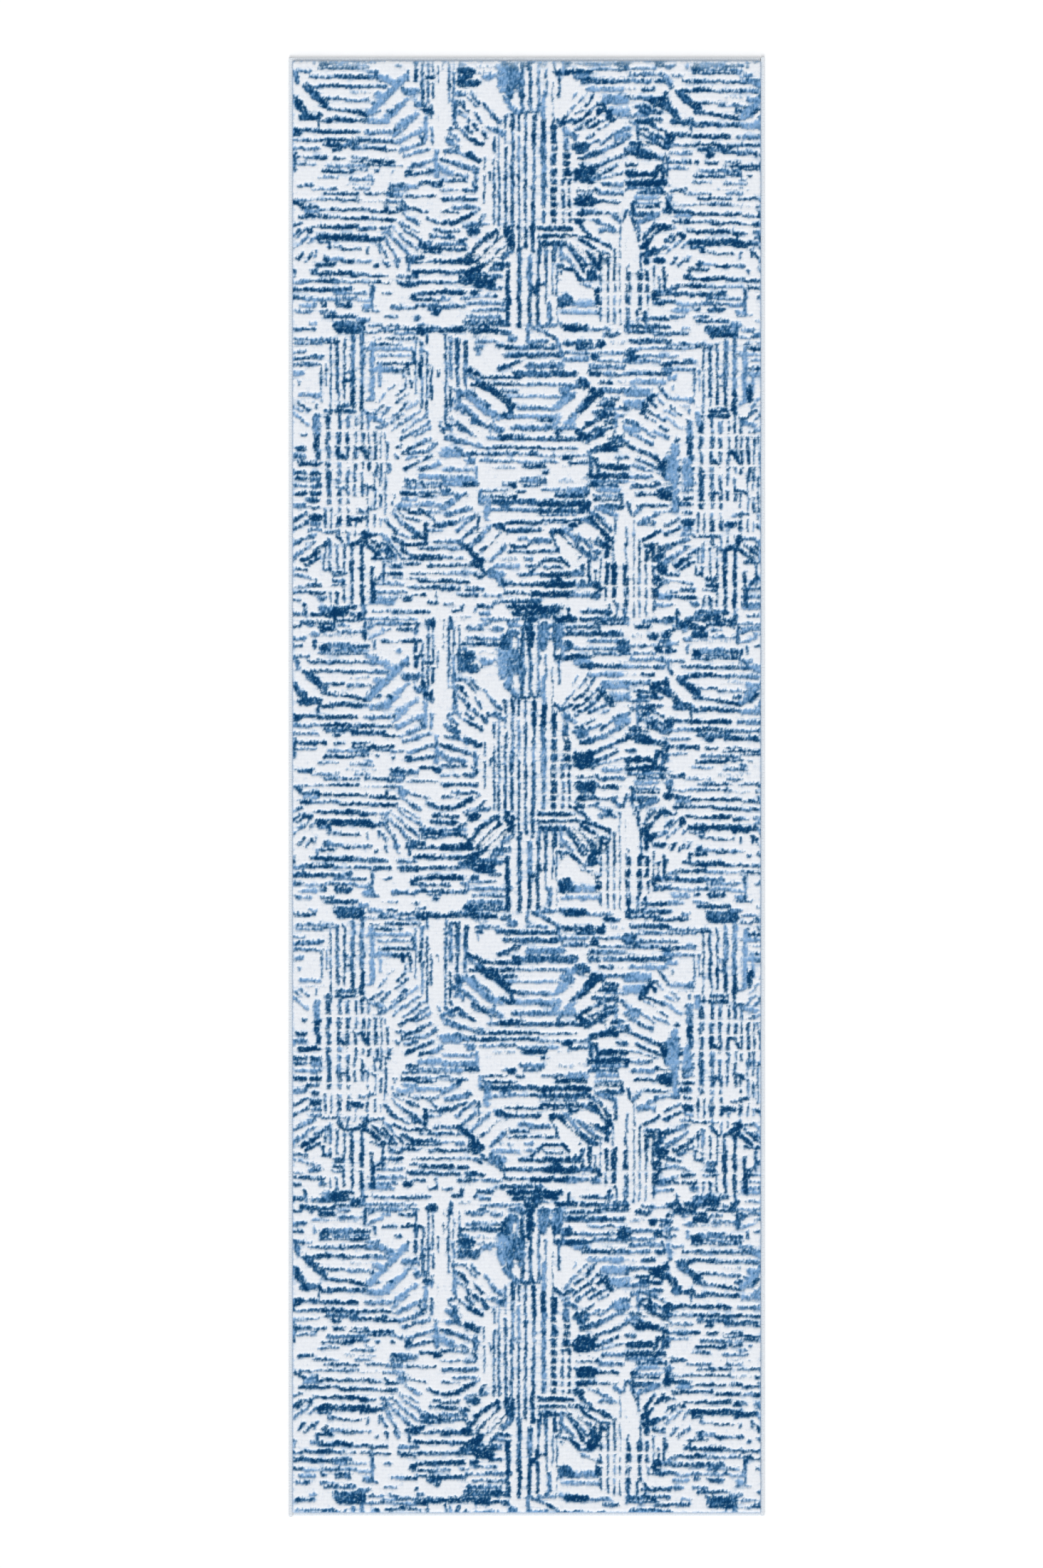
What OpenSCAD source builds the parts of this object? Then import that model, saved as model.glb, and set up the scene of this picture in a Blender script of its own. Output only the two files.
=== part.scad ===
// Runner rug: a face-to-face woven carpet with a raised white figure on a low blue
// pile, coated with latex at the back and serged on all four edges over a cord.
// Millimetres. X runs across the rug, Y along it, Z up. The origin is the middle of
// the underside.

/* [Rug] */
// Width over the serged edges
rug_w = 790; // [600:10:1000]
// Length over the serged ends
rug_l = 2420; // [1800:10:3000]

/* [Layers] */
// Thickness of the latex coat in the field
latex_t = 1.8; // [1.4:0.1:3]
// Thickness of each layer of ground yarns
ground_t = 0.6; // [0.4:0.1:1]
// Height of the low blue pile above the ground weave
low_pile_h = 4; // [3:0.5:8]
// How far the white figure stands above the blue pile
relief_h = 3.4; // [2:0.2:5]

/* [Serging] */
// Width of the serging on the face
serge_w = 7; // [6:0.5:12]
// Thickness of the serging yarn round the edge
serge_t = 1; // [0.8:0.1:1.4]
// Diameter of the cord inside the serged edge
cord_d = 2.4; // [1.6:0.1:2.6]

/* [Figure] */
// Distance between two columns of medallions
column_pitch = 309; // [280:1:340]
// Distance between two rows of medallions
row_pitch = 485; // [460:1:520]
// Distance between two strokes of the figure
stroke_pitch = 13; // [12:0.5:16]
// Width of a stroke
stroke_w = 7; // [4:0.5:9]

/* [Hidden] */

// Where the layers lie, from the floor up
lower_weft_z = latex_t;
stuffer_z = lower_weft_z + ground_t;
upper_weft_z = stuffer_z + ground_t;
pile_z = upper_weft_z + ground_t;
figure_z = pile_z + low_pile_h;
serge_h = pile_z + serge_t;

// How far the cloth and the field reach from the middle
cord_gap = 0.1;
cloth_inset = serge_t + cord_d + 2 * cord_gap;
cloth_x = rug_w / 2 - cloth_inset;
cloth_y = rug_l / 2 - cloth_inset;
field_x = rug_w / 2 - serge_w;
field_y = rug_l / 2 - serge_w;
cord_inset = serge_t + cord_gap + cord_d / 2;
cord_z = (serge_t + pile_z) / 2;
round_fn = 48;

// The medallions: the middle of the first one, and its cut corners
figure_x = 12;
figure_y = 38;
columns = [-1 : 1];
rows = [-2 : 2];
core_x = 78;
core_y = 112;
corner_x = 35;
corner_y = 60;
stroke_end = 8;
bars_each_side = 5;
fan_inner = 92;
fan_outer = 142;
fan_step = 12;
fan_rays = 4;
stalk_bars = 3;
stalk_top = 124;
stalk_bottom = 236;
bridge_near = 124;
bridge_rows = 8;
bridge_half = 88;
spike_w = 20;
spike_down = [92, 250];
spike_up = [-150, -62];

module slab(half_x, half_y, z, h) {
    translate([-half_x, -half_y, z]) cube([2 * half_x, 2 * half_y, h]);
}

module core_outline() {
    polygon([
        [-core_x, -corner_y], [-corner_x, -core_y], [corner_x, -core_y], [core_x, -corner_y],
        [core_x, corner_y], [corner_x, core_y], [-corner_x, core_y], [-core_x, corner_y]
    ]);
}

// Half the length of the medallion along Y at x, and along X at y
function half_chord_y(x) = abs(x) <= corner_x
    ? core_y
    : core_y - (abs(x) - corner_x) * (core_y - corner_y) / (core_x - corner_x);
function half_chord_x(y) = abs(y) <= corner_y
    ? core_x
    : core_x - (abs(y) - corner_y) * (core_x - corner_x) / (core_y - corner_y);

function upright(column, row) = (column + row) % 2 == 0;
function place(column, row) = [figure_x + column * column_pitch, figure_y + row * row_pitch];

module field_outline() {
    square([2 * field_x, 2 * field_y], center = true);
}

module medallions() {
    for (column = columns, row = rows)
        translate(place(column, row)) core_outline();
}

// A stroke lies along its own length, with its middle at the origin
module stroke(length, width = stroke_w) {
    square([width, length], center = true);
}

module upright_strokes() {
    for (n = [-bars_each_side : bars_each_side]) {
        x = n * stroke_pitch;
        translate([x, 0]) stroke(2 * (half_chord_y(x) - stroke_end));
    }
    for (n = [-stalk_bars : stalk_bars])
        translate([n * stroke_pitch, -(stalk_top + stalk_bottom) / 2])
            stroke(stalk_bottom - stalk_top);
}

module level_strokes() {
    for (n = [-8 : 8]) {
        y = n * stroke_pitch;
        translate([0, y]) rotate(90) stroke(2 * (half_chord_x(y) - stroke_end));
    }
    for (n = [0 : bridge_rows - 1], side = [-1, 1])
        translate([0, side * (bridge_near + n * stroke_pitch)])
            rotate(90) stroke(2 * bridge_half);
}

module fan_strokes() {
    for (n = [-fan_rays : fan_rays], side = [0, 180])
        rotate(side + n * fan_step)
            translate([(fan_inner + fan_outer) / 2, 0])
                rotate(90) stroke(fan_outer - fan_inner);
}

module down_spike() {
    polygon([[-spike_w / 2, spike_down[1]], [0, spike_down[0]], [spike_w / 2, spike_down[1]]]);
}

module up_spike() {
    polygon([[-spike_w / 2, spike_up[0]], [spike_w / 2, spike_up[0]], [0, spike_up[1]]]);
}

module figure_outline() {
    for (column = columns, row = rows)
        translate(place(column, row)) {
            if (upright(column, row)) upright_strokes();
            else level_strokes();
            fan_strokes();
        }
    for (row = rows) {
        translate(place(-0.5, row)) down_spike();
        translate(place(0.5, row)) up_spike();
    }
}

module latex_backing() {
    color("whitesmoke") {
        slab(field_x, field_y, 0, serge_t);
        slab(cloth_x, cloth_y, serge_t, latex_t - serge_t);
    }
}

module lower_weft() {
    color("burlywood") slab(cloth_x, cloth_y, lower_weft_z, ground_t);
}

module stuffer_warps() {
    color("wheat") slab(cloth_x, cloth_y, stuffer_z, ground_t);
}

module upper_weft() {
    color("tan") slab(cloth_x, cloth_y, upper_weft_z, ground_t);
}

module sky_blue_pile() {
    color("#7fa3cf")
        translate([0, 0, pile_z])
            linear_extrude(low_pile_h)
                difference() {
                    field_outline();
                    medallions();
                }
}

module navy_pile() {
    color("#1d4c7e")
        translate([0, 0, pile_z])
            linear_extrude(low_pile_h)
                intersection() {
                    field_outline();
                    medallions();
                }
}

module white_pile() {
    color("#eceef2")
        translate([0, 0, figure_z])
            linear_extrude(relief_h)
                intersection() {
                    field_outline();
                    figure_outline();
                }
}

// The serging's section, with the edge of the rug at x = 0 and the field at negative x
module serging_section() {
    outer_r = serge_h / 2;
    difference() {
        union() {
            translate([-serge_w, 0]) square([serge_w - outer_r, serge_h]);
            translate([-outer_r, outer_r]) circle(outer_r, $fn = round_fn);
        }
        translate([-serge_w - 1, serge_t]) square([serge_w + 1 - cloth_inset, pile_z - serge_t]);
        translate([-cord_inset, cord_z]) circle(cord_d / 2 + cord_gap, $fn = round_fn);
        translate([-cloth_inset - 1, cord_z - cord_d / 4]) square([1 + cord_d / 2, cord_d / 2]);
    }
}

// A serged edge of the given length, along Y, at the right of the field
module serged_edge(length) {
    color("#e8edf3")
        translate([0, length / 2, 0])
            rotate([90, 0, 0])
                linear_extrude(length) serging_section();
}

module serging_right() {
    translate([rug_w / 2, 0, 0]) serged_edge(rug_l);
}

module serging_left() {
    rotate(180) translate([rug_w / 2, 0, 0]) serged_edge(rug_l);
}

module serging_head() {
    rotate(90) translate([rug_l / 2, 0, 0]) serged_edge(2 * field_x);
}

module serging_foot() {
    rotate(-90) translate([rug_l / 2, 0, 0]) serged_edge(2 * field_x);
}

// A cord along Y, just inside an edge that lies at the given distance from the middle
module edge_cord(edge, length) {
    color("ivory")
        translate([edge - cord_inset, 0, cord_z])
            rotate([90, 0, 0])
                cylinder(h = length, d = cord_d, center = true, $fn = round_fn);
}

module edge_cord_right() {
    edge_cord(rug_w / 2, rug_l);
}

module edge_cord_left() {
    rotate(180) edge_cord(rug_w / 2, rug_l);
}

module edge_cord_head() {
    rotate(90) edge_cord(rug_l / 2, 2 * field_x);
}

module edge_cord_foot() {
    rotate(-90) edge_cord(rug_l / 2, 2 * field_x);
}

latex_backing();
lower_weft();
stuffer_warps();
upper_weft();
sky_blue_pile();
navy_pile();
white_pile();
serging_left();
serging_right();
serging_head();
serging_foot();
edge_cord_left();
edge_cord_right();
edge_cord_head();
edge_cord_foot();
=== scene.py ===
import math

import bmesh
import bpy
import numpy as np
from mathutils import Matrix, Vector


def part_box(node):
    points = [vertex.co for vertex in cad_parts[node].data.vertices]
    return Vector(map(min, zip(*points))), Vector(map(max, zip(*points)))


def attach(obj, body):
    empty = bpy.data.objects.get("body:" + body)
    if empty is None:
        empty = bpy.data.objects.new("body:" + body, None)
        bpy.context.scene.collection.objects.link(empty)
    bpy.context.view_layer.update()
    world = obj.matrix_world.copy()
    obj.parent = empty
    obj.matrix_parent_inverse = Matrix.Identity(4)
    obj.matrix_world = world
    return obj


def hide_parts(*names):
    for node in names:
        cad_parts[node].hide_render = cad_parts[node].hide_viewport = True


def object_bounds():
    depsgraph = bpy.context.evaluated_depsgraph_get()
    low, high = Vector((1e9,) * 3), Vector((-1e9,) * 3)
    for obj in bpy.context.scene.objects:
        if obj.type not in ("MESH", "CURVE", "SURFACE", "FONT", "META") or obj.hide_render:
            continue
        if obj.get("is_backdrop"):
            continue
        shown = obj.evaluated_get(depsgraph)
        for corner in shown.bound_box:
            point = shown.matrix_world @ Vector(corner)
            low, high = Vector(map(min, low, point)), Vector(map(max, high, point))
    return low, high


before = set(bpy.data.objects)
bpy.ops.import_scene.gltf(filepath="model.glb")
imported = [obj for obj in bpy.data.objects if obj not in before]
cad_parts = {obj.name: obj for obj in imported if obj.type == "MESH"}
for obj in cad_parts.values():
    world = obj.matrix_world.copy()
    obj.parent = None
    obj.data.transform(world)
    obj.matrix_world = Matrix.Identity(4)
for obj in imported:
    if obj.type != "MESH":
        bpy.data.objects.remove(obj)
cad_low, cad_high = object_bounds()

# Camera, floor and light. The rug lies flat on a plain white floor and is seen from
# straight above through a long lens, in soft even light that comes a little from the
# foot end.
LENS_MM = 85.0
SENSOR_MM = 36.0
VIEW_LONG_SIDE = 2.598
VIEW_CENTRE = (-0.0086, 0.0044)
FLOOR_SIZE = 60.0
FLOOR_COLOUR = (0.96, 0.96, 0.965, 1.0)
FLOOR_DROP = 0.0005
LIGHT_STRENGTH = 1.6
LIGHT_SOFTNESS = math.radians(35)
LIGHT_TILT = math.radians(50)
LIGHT_TURN = math.radians(-8)
STUDIO_STRENGTH = 0.76
STUDIO_COLOUR = (0.97, 0.985, 1.0, 1.0)
VIEW_REACH = 100.0

camera_data = bpy.data.cameras.new("camera")
camera_data.lens = LENS_MM
camera_data.sensor_width = SENSOR_MM
camera_data.dof.use_dof = False
camera_data.clip_end = VIEW_REACH
camera = bpy.data.objects.new("camera", camera_data)
bpy.context.scene.collection.objects.link(camera)
camera_height = VIEW_LONG_SIDE * LENS_MM / SENSOR_MM + cad_high.z
camera.location = (VIEW_CENTRE[0], VIEW_CENTRE[1], camera_height)
bpy.context.scene.camera = camera

floor_mesh = bpy.data.meshes.new("floor")
half_floor = FLOOR_SIZE / 2
floor_mesh.from_pydata(
    [(x, y, cad_low.z - FLOOR_DROP) for x, y in (
        (-half_floor, -half_floor), (half_floor, -half_floor),
        (half_floor, half_floor), (-half_floor, half_floor))],
    [], [(0, 1, 2, 3)])
floor = bpy.data.objects.new("floor", floor_mesh)
bpy.context.scene.collection.objects.link(floor)
floor_paint = bpy.data.materials.new("floor_paint")
floor_paint.use_nodes = True
floor_shader = floor_paint.node_tree.nodes["Principled BSDF"]
floor_shader.inputs["Base Color"].default_value = FLOOR_COLOUR
floor_shader.inputs["Roughness"].default_value = 0.9
floor_mesh.materials.append(floor_paint)
floor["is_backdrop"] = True

soft_lamp = bpy.data.lights.new("soft_light", "SUN")
soft_lamp.energy = LIGHT_STRENGTH
soft_lamp.angle = LIGHT_SOFTNESS
soft_light = bpy.data.objects.new("soft_light", soft_lamp)
bpy.context.scene.collection.objects.link(soft_light)
soft_light.rotation_euler = (LIGHT_TILT, 0.0, LIGHT_TURN)
world = bpy.data.worlds.new("studio")
world.use_nodes = True
world.node_tree.nodes["Background"].inputs["Color"].default_value = STUDIO_COLOUR
world.node_tree.nodes["Background"].inputs["Strength"].default_value = STUDIO_STRENGTH
bpy.context.scene.world = world
bpy.context.scene.view_settings.view_transform = "Standard"


# Yarns. Every yarn of the rug is spun from fine fibres, so its colour and its surface
# change a little along it. This group gives that change for any yarn: a mask for light
# and dark fibres, and a height for the bump.
COARSE_SHARE = 0.22
FIBRE_RANGE = (0.7, 1.3)


def new_group(name, inputs, outputs):
    group = bpy.data.node_groups.new(name, "ShaderNodeTree")
    for label, kind, value in inputs:
        socket = group.interface.new_socket(name=label, in_out="INPUT", socket_type=kind)
        if value is not None:
            socket.default_value = value
    for label, kind in outputs:
        group.interface.new_socket(name=label, in_out="OUTPUT", socket_type=kind)
    return group, group.nodes.new("NodeGroupInput"), group.nodes.new("NodeGroupOutput")


def add_node(tree, kind, **settings):
    node = tree.nodes.new(kind)
    for name, value in settings.items():
        setattr(node, name, value)
    return node


def calculate(tree, operation, first, second=None):
    """A Math node; its inputs are sockets or numbers."""
    node = add_node(tree, "ShaderNodeMath", operation=operation)
    for slot, value in enumerate((first, second)):
        if value is None:
            continue
        if isinstance(value, (int, float)):
            node.inputs[slot].default_value = value
        else:
            tree.links.new(value, node.inputs[slot])
    return node.outputs[0]


def mix_colours(tree, amount, first, second):
    """A colour Mix node; amount is a socket or a number, colours are sockets or tuples."""
    node = add_node(tree, "ShaderNodeMix", data_type="RGBA")
    for name, value in (("Factor_Float", amount), ("A_Color", first), ("B_Color", second)):
        socket = next(s for s in node.inputs if s.identifier == name)
        if isinstance(value, (int, float)):
            socket.default_value = value
        elif isinstance(value, tuple):
            socket.default_value = (*value, 1.0)
        else:
            tree.links.new(value, socket)
    return next(s for s in node.outputs if s.identifier == "Result_Color")


yarn_fibres, fibres_in, fibres_out = new_group(
    "Yarn fibres",
    [("Vector", "NodeSocketVector", None), ("Fibre size", "NodeSocketFloat", 0.0006),
     ("Stretch", "NodeSocketVector", (1.0, 1.0, 1.0))],
    [("Mask", "NodeSocketFloat"), ("Height", "NodeSocketFloat")])
stretched = add_node(yarn_fibres, "ShaderNodeVectorMath", operation="MULTIPLY")
yarn_fibres.links.new(fibres_in.outputs["Vector"], stretched.inputs[0])
yarn_fibres.links.new(fibres_in.outputs["Stretch"], stretched.inputs[1])
fibre_scale = calculate(yarn_fibres, "DIVIDE", 1.0, fibres_in.outputs["Fibre size"])
coarse_scale = calculate(yarn_fibres, "MULTIPLY", fibre_scale, COARSE_SHARE)
fine_noise = add_node(yarn_fibres, "ShaderNodeTexNoise", noise_dimensions="3D")
fine_noise.inputs["Detail"].default_value = 2.0
coarse_noise = add_node(yarn_fibres, "ShaderNodeTexNoise", noise_dimensions="3D")
coarse_noise.inputs["Detail"].default_value = 3.0
for noise, scale in ((fine_noise, fibre_scale), (coarse_noise, coarse_scale)):
    yarn_fibres.links.new(stretched.outputs["Vector"], noise.inputs["Vector"])
    yarn_fibres.links.new(scale, noise.inputs["Scale"])
both = calculate(yarn_fibres, "ADD", fine_noise.outputs["Fac"], coarse_noise.outputs["Fac"])
fibre_mask = add_node(yarn_fibres, "ShaderNodeMapRange")
fibre_mask.inputs["From Min"].default_value = FIBRE_RANGE[0]
fibre_mask.inputs["From Max"].default_value = FIBRE_RANGE[1]
yarn_fibres.links.new(both, fibre_mask.inputs["Value"])
yarn_fibres.links.new(fibre_mask.outputs["Result"], fibres_out.inputs["Mask"])
yarn_fibres.links.new(both, fibres_out.inputs["Height"])


def new_material(name, roughness, sheen=0.0, gloss=0.2):
    """A material with its shader, its Object coordinates and its own numbers set."""
    material = bpy.data.materials.new(name)
    material.use_nodes = True
    tree = material.node_tree
    shader = tree.nodes["Principled BSDF"]
    shader.inputs["Roughness"].default_value = roughness
    shader.inputs["Specular IOR Level"].default_value = gloss
    shader.inputs["Sheen Weight"].default_value = sheen
    shader.inputs["Sheen Roughness"].default_value = 0.6
    place = tree.nodes.new("ShaderNodeTexCoord").outputs["Object"]
    return material, tree, shader, place


def add_fibres(tree, place, fibre_size, stretch=(1.0, 1.0, 1.0)):
    fibres = add_node(tree, "ShaderNodeGroup", node_tree=yarn_fibres)
    fibres.inputs["Fibre size"].default_value = fibre_size
    fibres.inputs["Stretch"].default_value = stretch
    tree.links.new(place, fibres.inputs["Vector"])
    return fibres


def add_bump(tree, shader, height, distance, strength=1.0):
    bump = tree.nodes.new("ShaderNodeBump")
    bump.inputs["Distance"].default_value = distance
    bump.inputs["Strength"].default_value = strength
    tree.links.new(height, bump.inputs["Height"])
    tree.links.new(bump.outputs["Normal"], shader.inputs["Normal"])


def yarn_material(name, pale, dark, fibre_size, roughness=0.9, sheen=0.1, stretch=(1.0, 1.0, 1.0)):
    """A spun yarn of one colour, with lighter and darker fibres."""
    material, tree, shader, place = new_material(name, roughness, sheen)
    fibres = add_fibres(tree, place, fibre_size, stretch)
    colour = mix_colours(tree, fibres.outputs["Mask"], dark, pale)
    tree.links.new(colour, shader.inputs["Base Color"])
    add_bump(tree, shader, fibres.outputs["Height"], fibre_size)
    return material


# The woven back, coated with latex. The weft yarns of the back show through the thin
# coat as fine ribs across the rug. The cloth is one closed skin, ribbed below and flat
# above, and its field reaches the serging on all four sides.
RIB_PITCH = 0.003
RIB_DEPTH = 0.0005
RIB_STEPS = 4
BACK_COLUMNS = 8

latex_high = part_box("latex_backing")[1]
pile_low, pile_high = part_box("sky_blue_pile")
half_field = np.array([pile_high.x, pile_high.y])
half_cloth = np.array([latex_high.x, latex_high.y])


def mesh_piece(name, points, faces, material):
    """A plain mesh object at the origin, from arrays of points and of faces."""
    mesh = bpy.data.meshes.new(name)
    mesh.from_pydata(np.asarray(points).tolist(), [], [list(map(int, f)) for f in faces])
    mesh.materials.append(material)
    mesh.polygons.foreach_set("use_smooth", [True] * len(mesh.polygons))
    piece = bpy.data.objects.new(name, mesh)
    bpy.context.scene.collection.objects.link(piece)
    return piece


def grid_faces(rows, columns, first=0):
    """Quads of a grid of points, counted row by row, facing +Z where x and y grow."""
    row, column = np.meshgrid(np.arange(rows - 1), np.arange(columns - 1), indexing="ij")
    corner = (first + row * columns + column).ravel()
    return np.stack([corner, corner + 1, corner + columns + 1, corner + columns], axis=1)


def rim_faces(rows, columns, low_first, high_first):
    """Quads that join the edges of two equal grids, the low one facing down."""
    foot = np.arange(columns)
    head = foot + (rows - 1) * columns
    left = np.arange(rows) * columns
    right = left + columns - 1
    faces = []
    for edge in (foot, right, head[::-1], left[::-1]):
        low, high = edge + low_first, edge + high_first
        faces += list(np.stack([low[:-1], low[1:], high[1:], high[:-1]], axis=1))
    return faces


rib_rows = int(round(2 * half_field[1] / RIB_PITCH)) * RIB_STEPS + 1
back_y = np.linspace(-half_field[1], half_field[1], rib_rows)
back_x = np.linspace(-half_field[0], half_field[0], BACK_COLUMNS + 1)
rib = RIB_DEPTH * (0.5 - 0.5 * np.cos(2 * np.pi * np.arange(rib_rows) / RIB_STEPS))
grid_x, grid_y = np.meshgrid(back_x, back_y)
under = np.stack([grid_x, grid_y, np.repeat(rib[:, None], len(back_x), axis=1)], axis=-1)
upper = np.stack([grid_x, grid_y, np.full_like(grid_x, latex_high.z)], axis=-1)
low_faces = grid_faces(rib_rows, len(back_x))[:, ::-1]
high_faces = grid_faces(rib_rows, len(back_x), first=grid_x.size)

latex, latex_tree, latex_shader, latex_place = new_material("latex_coat", roughness=0.75)
latex_fibres = add_fibres(latex_tree, latex_place, 0.0012, stretch=(0.15, 1.0, 1.0))
warp_lines = add_node(latex_tree, "ShaderNodeTexWave", bands_direction="X")
warp_lines.inputs["Scale"].default_value = 52.0
warp_lines.inputs["Distortion"].default_value = 0.6
latex_tree.links.new(latex_place, warp_lines.inputs["Vector"])
latex_tone = mix_colours(latex_tree, latex_fibres.outputs["Mask"],
                         (0.50, 0.43, 0.33), (0.74, 0.70, 0.62))
latex_tone = mix_colours(latex_tree, warp_lines.outputs["Fac"], (0.42, 0.35, 0.25), latex_tone)
latex_tree.links.new(latex_tone, latex_shader.inputs["Base Color"])
add_bump(latex_tree, latex_shader, warp_lines.outputs["Fac"], 0.0003)

latex_back = mesh_piece(
    "latex_back", np.concatenate([under.reshape(-1, 3), upper.reshape(-1, 3)]),
    [*low_faces, *high_faces, *rim_faces(rib_rows, len(back_x), 0, grid_x.size)], latex)
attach(latex_back, "root")
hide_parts("latex_backing")

# The ground weave: two layers of jute weft shots across the rug, with cotton stuffer
# warps between them that run the whole length and keep the rug flat. The pile yarns
# are looped round the wefts.
WEFT_PITCH = 0.003
WARP_PITCH = 0.0042
YARN_SIDES = 6
YARN_GAP = 0.00002


def new_geometry_tree(name, inputs):
    tree = bpy.data.node_groups.new(name, "GeometryNodeTree")
    tree.interface.new_socket(name="Geometry", in_out="INPUT", socket_type="NodeSocketGeometry")
    for label, kind in inputs:
        tree.interface.new_socket(name=label, in_out="INPUT", socket_type=kind)
    tree.interface.new_socket(name="Geometry", in_out="OUTPUT", socket_type="NodeSocketGeometry")
    return tree, tree.nodes.new("NodeGroupInput"), tree.nodes.new("NodeGroupOutput")


def run_geometry_tree(tree, name, values, mesh=None):
    """Runs the tree on an object and returns its result as a plain mesh object."""
    base = bpy.data.objects.new(name + "_base", mesh or bpy.data.meshes.new(name + "_base"))
    bpy.context.scene.collection.objects.link(base)
    modifier = base.modifiers.new("build", "NODES")
    modifier.node_group = tree
    for item in tree.interface.items_tree:
        if item.in_out == "INPUT" and item.name in values:
            modifier[item.identifier] = values[item.name]
    base.update_tag()
    depsgraph = bpy.context.evaluated_depsgraph_get()
    made = bpy.data.meshes.new_from_object(base.evaluated_get(depsgraph))
    made.name = name
    base.modifiers.remove(modifier)
    bpy.data.objects.remove(base)
    piece = bpy.data.objects.new(name, made)
    bpy.context.scene.collection.objects.link(piece)
    return piece


laid_yarns, laid_in, laid_out = new_geometry_tree(
    "Laid yarns",
    [("Count", "NodeSocketInt"), ("First", "NodeSocketVector"), ("Step", "NodeSocketVector"),
     ("Run", "NodeSocketVector"), ("Radius", "NodeSocketFloat"), ("Sides", "NodeSocketInt"),
     ("Yarn", "NodeSocketMaterial")])
yarn_line = add_node(laid_yarns, "GeometryNodeCurvePrimitiveLine", mode="POINTS")
yarn_section = add_node(laid_yarns, "GeometryNodeCurvePrimitiveCircle", mode="RADIUS")
yarn_tube = add_node(laid_yarns, "GeometryNodeCurveToMesh")
yarn_places = add_node(laid_yarns, "GeometryNodeMeshLine", mode="OFFSET")
yarn_copies = add_node(laid_yarns, "GeometryNodeInstanceOnPoints")
yarn_real = add_node(laid_yarns, "GeometryNodeRealizeInstances")
yarn_finish = add_node(laid_yarns, "GeometryNodeSetMaterial")
yarn_tube.inputs["Fill Caps"].default_value = True
for source, target in (
        (laid_in.outputs["Run"], yarn_line.inputs["End"]),
        (laid_in.outputs["Radius"], yarn_section.inputs["Radius"]),
        (laid_in.outputs["Sides"], yarn_section.inputs["Resolution"]),
        (yarn_line.outputs["Curve"], yarn_tube.inputs["Curve"]),
        (yarn_section.outputs["Curve"], yarn_tube.inputs["Profile Curve"]),
        (laid_in.outputs["Count"], yarn_places.inputs["Count"]),
        (laid_in.outputs["First"], yarn_places.inputs["Start Location"]),
        (laid_in.outputs["Step"], yarn_places.inputs["Offset"]),
        (yarn_places.outputs["Mesh"], yarn_copies.inputs["Points"]),
        (yarn_tube.outputs["Mesh"], yarn_copies.inputs["Instance"]),
        (yarn_copies.outputs["Instances"], yarn_real.inputs["Geometry"]),
        (yarn_real.outputs["Geometry"], yarn_finish.inputs["Geometry"]),
        (laid_in.outputs["Yarn"], yarn_finish.inputs["Material"]),
        (yarn_finish.outputs["Geometry"], laid_out.inputs["Geometry"])):
    laid_yarns.links.new(source, target)

jute = yarn_material("jute_weft", (0.62, 0.49, 0.31), (0.40, 0.29, 0.16), 0.0005,
                     stretch=(0.1, 1.0, 1.0))
cotton = yarn_material("cotton_warp", (0.78, 0.74, 0.64), (0.60, 0.54, 0.42), 0.0005,
                       stretch=(1.0, 0.1, 1.0))
for node, yarn, along_axis, pitch in (
        ("lower_weft", jute, 0, WEFT_PITCH), ("stuffer_warps", cotton, 1, WARP_PITCH),
        ("upper_weft", jute, 0, WEFT_PITCH)):
    layer_low, layer_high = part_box(node)
    across_axis = 1 - along_axis
    count = int(2 * half_cloth[across_axis] / pitch)
    first, step, run = np.zeros(3), np.zeros(3), np.zeros(3)
    first[along_axis] = -half_cloth[along_axis]
    first[across_axis] = -pitch * (count - 1) / 2
    first[2] = (layer_low.z + layer_high.z) / 2
    step[across_axis] = pitch
    run[along_axis] = 2 * half_cloth[along_axis]
    layer = run_geometry_tree(laid_yarns, node + "_yarns", {
        "Count": count, "First": first.tolist(), "Step": step.tolist(), "Run": run.tolist(),
        "Radius": (layer_high.z - layer_low.z) / 2 - YARN_GAP, "Sides": YARN_SIDES,
        "Yarn": yarn})
    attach(layer, "root")
    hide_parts(node)

# The pile. Each tuft is a short cut yarn, white, sky blue or navy, held by the wefts. The
# white tufts of the figure stand higher than the blue ones between them. The figure is
# drawn in millimetres, on two medallions' length of the left column and the middle one.
TUFT_PITCH = 0.002
MM = 0.001

# Shades of a blue stroke, as its share of navy yarn. A faint line covers only in part and lowers the
# pile a little; faint lines are pale blue lines and also painted shadow lines along the relief.
NAVY = 1.15
DEEP = 0.8
MIXED = 0.42
SKY = 0.05
FAINT_AND_SHADOW_LINE = -1.0
FAINT_SHADOW_COVER = 0.7
FAINT_SHADOW_NAVY = 0.2

# The middle strip's sides, the distance between two rows of medallions, how far the right
# column lies from the left one, and where the middle strip starts to be mirrored
STRIP_SIDES = (-142.7, 166.3)
MEDALLION_STEP = 485.0
COLUMN_MOVE = (618.0, -8.0)
MIRRORED_FROM = 96.0
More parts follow.
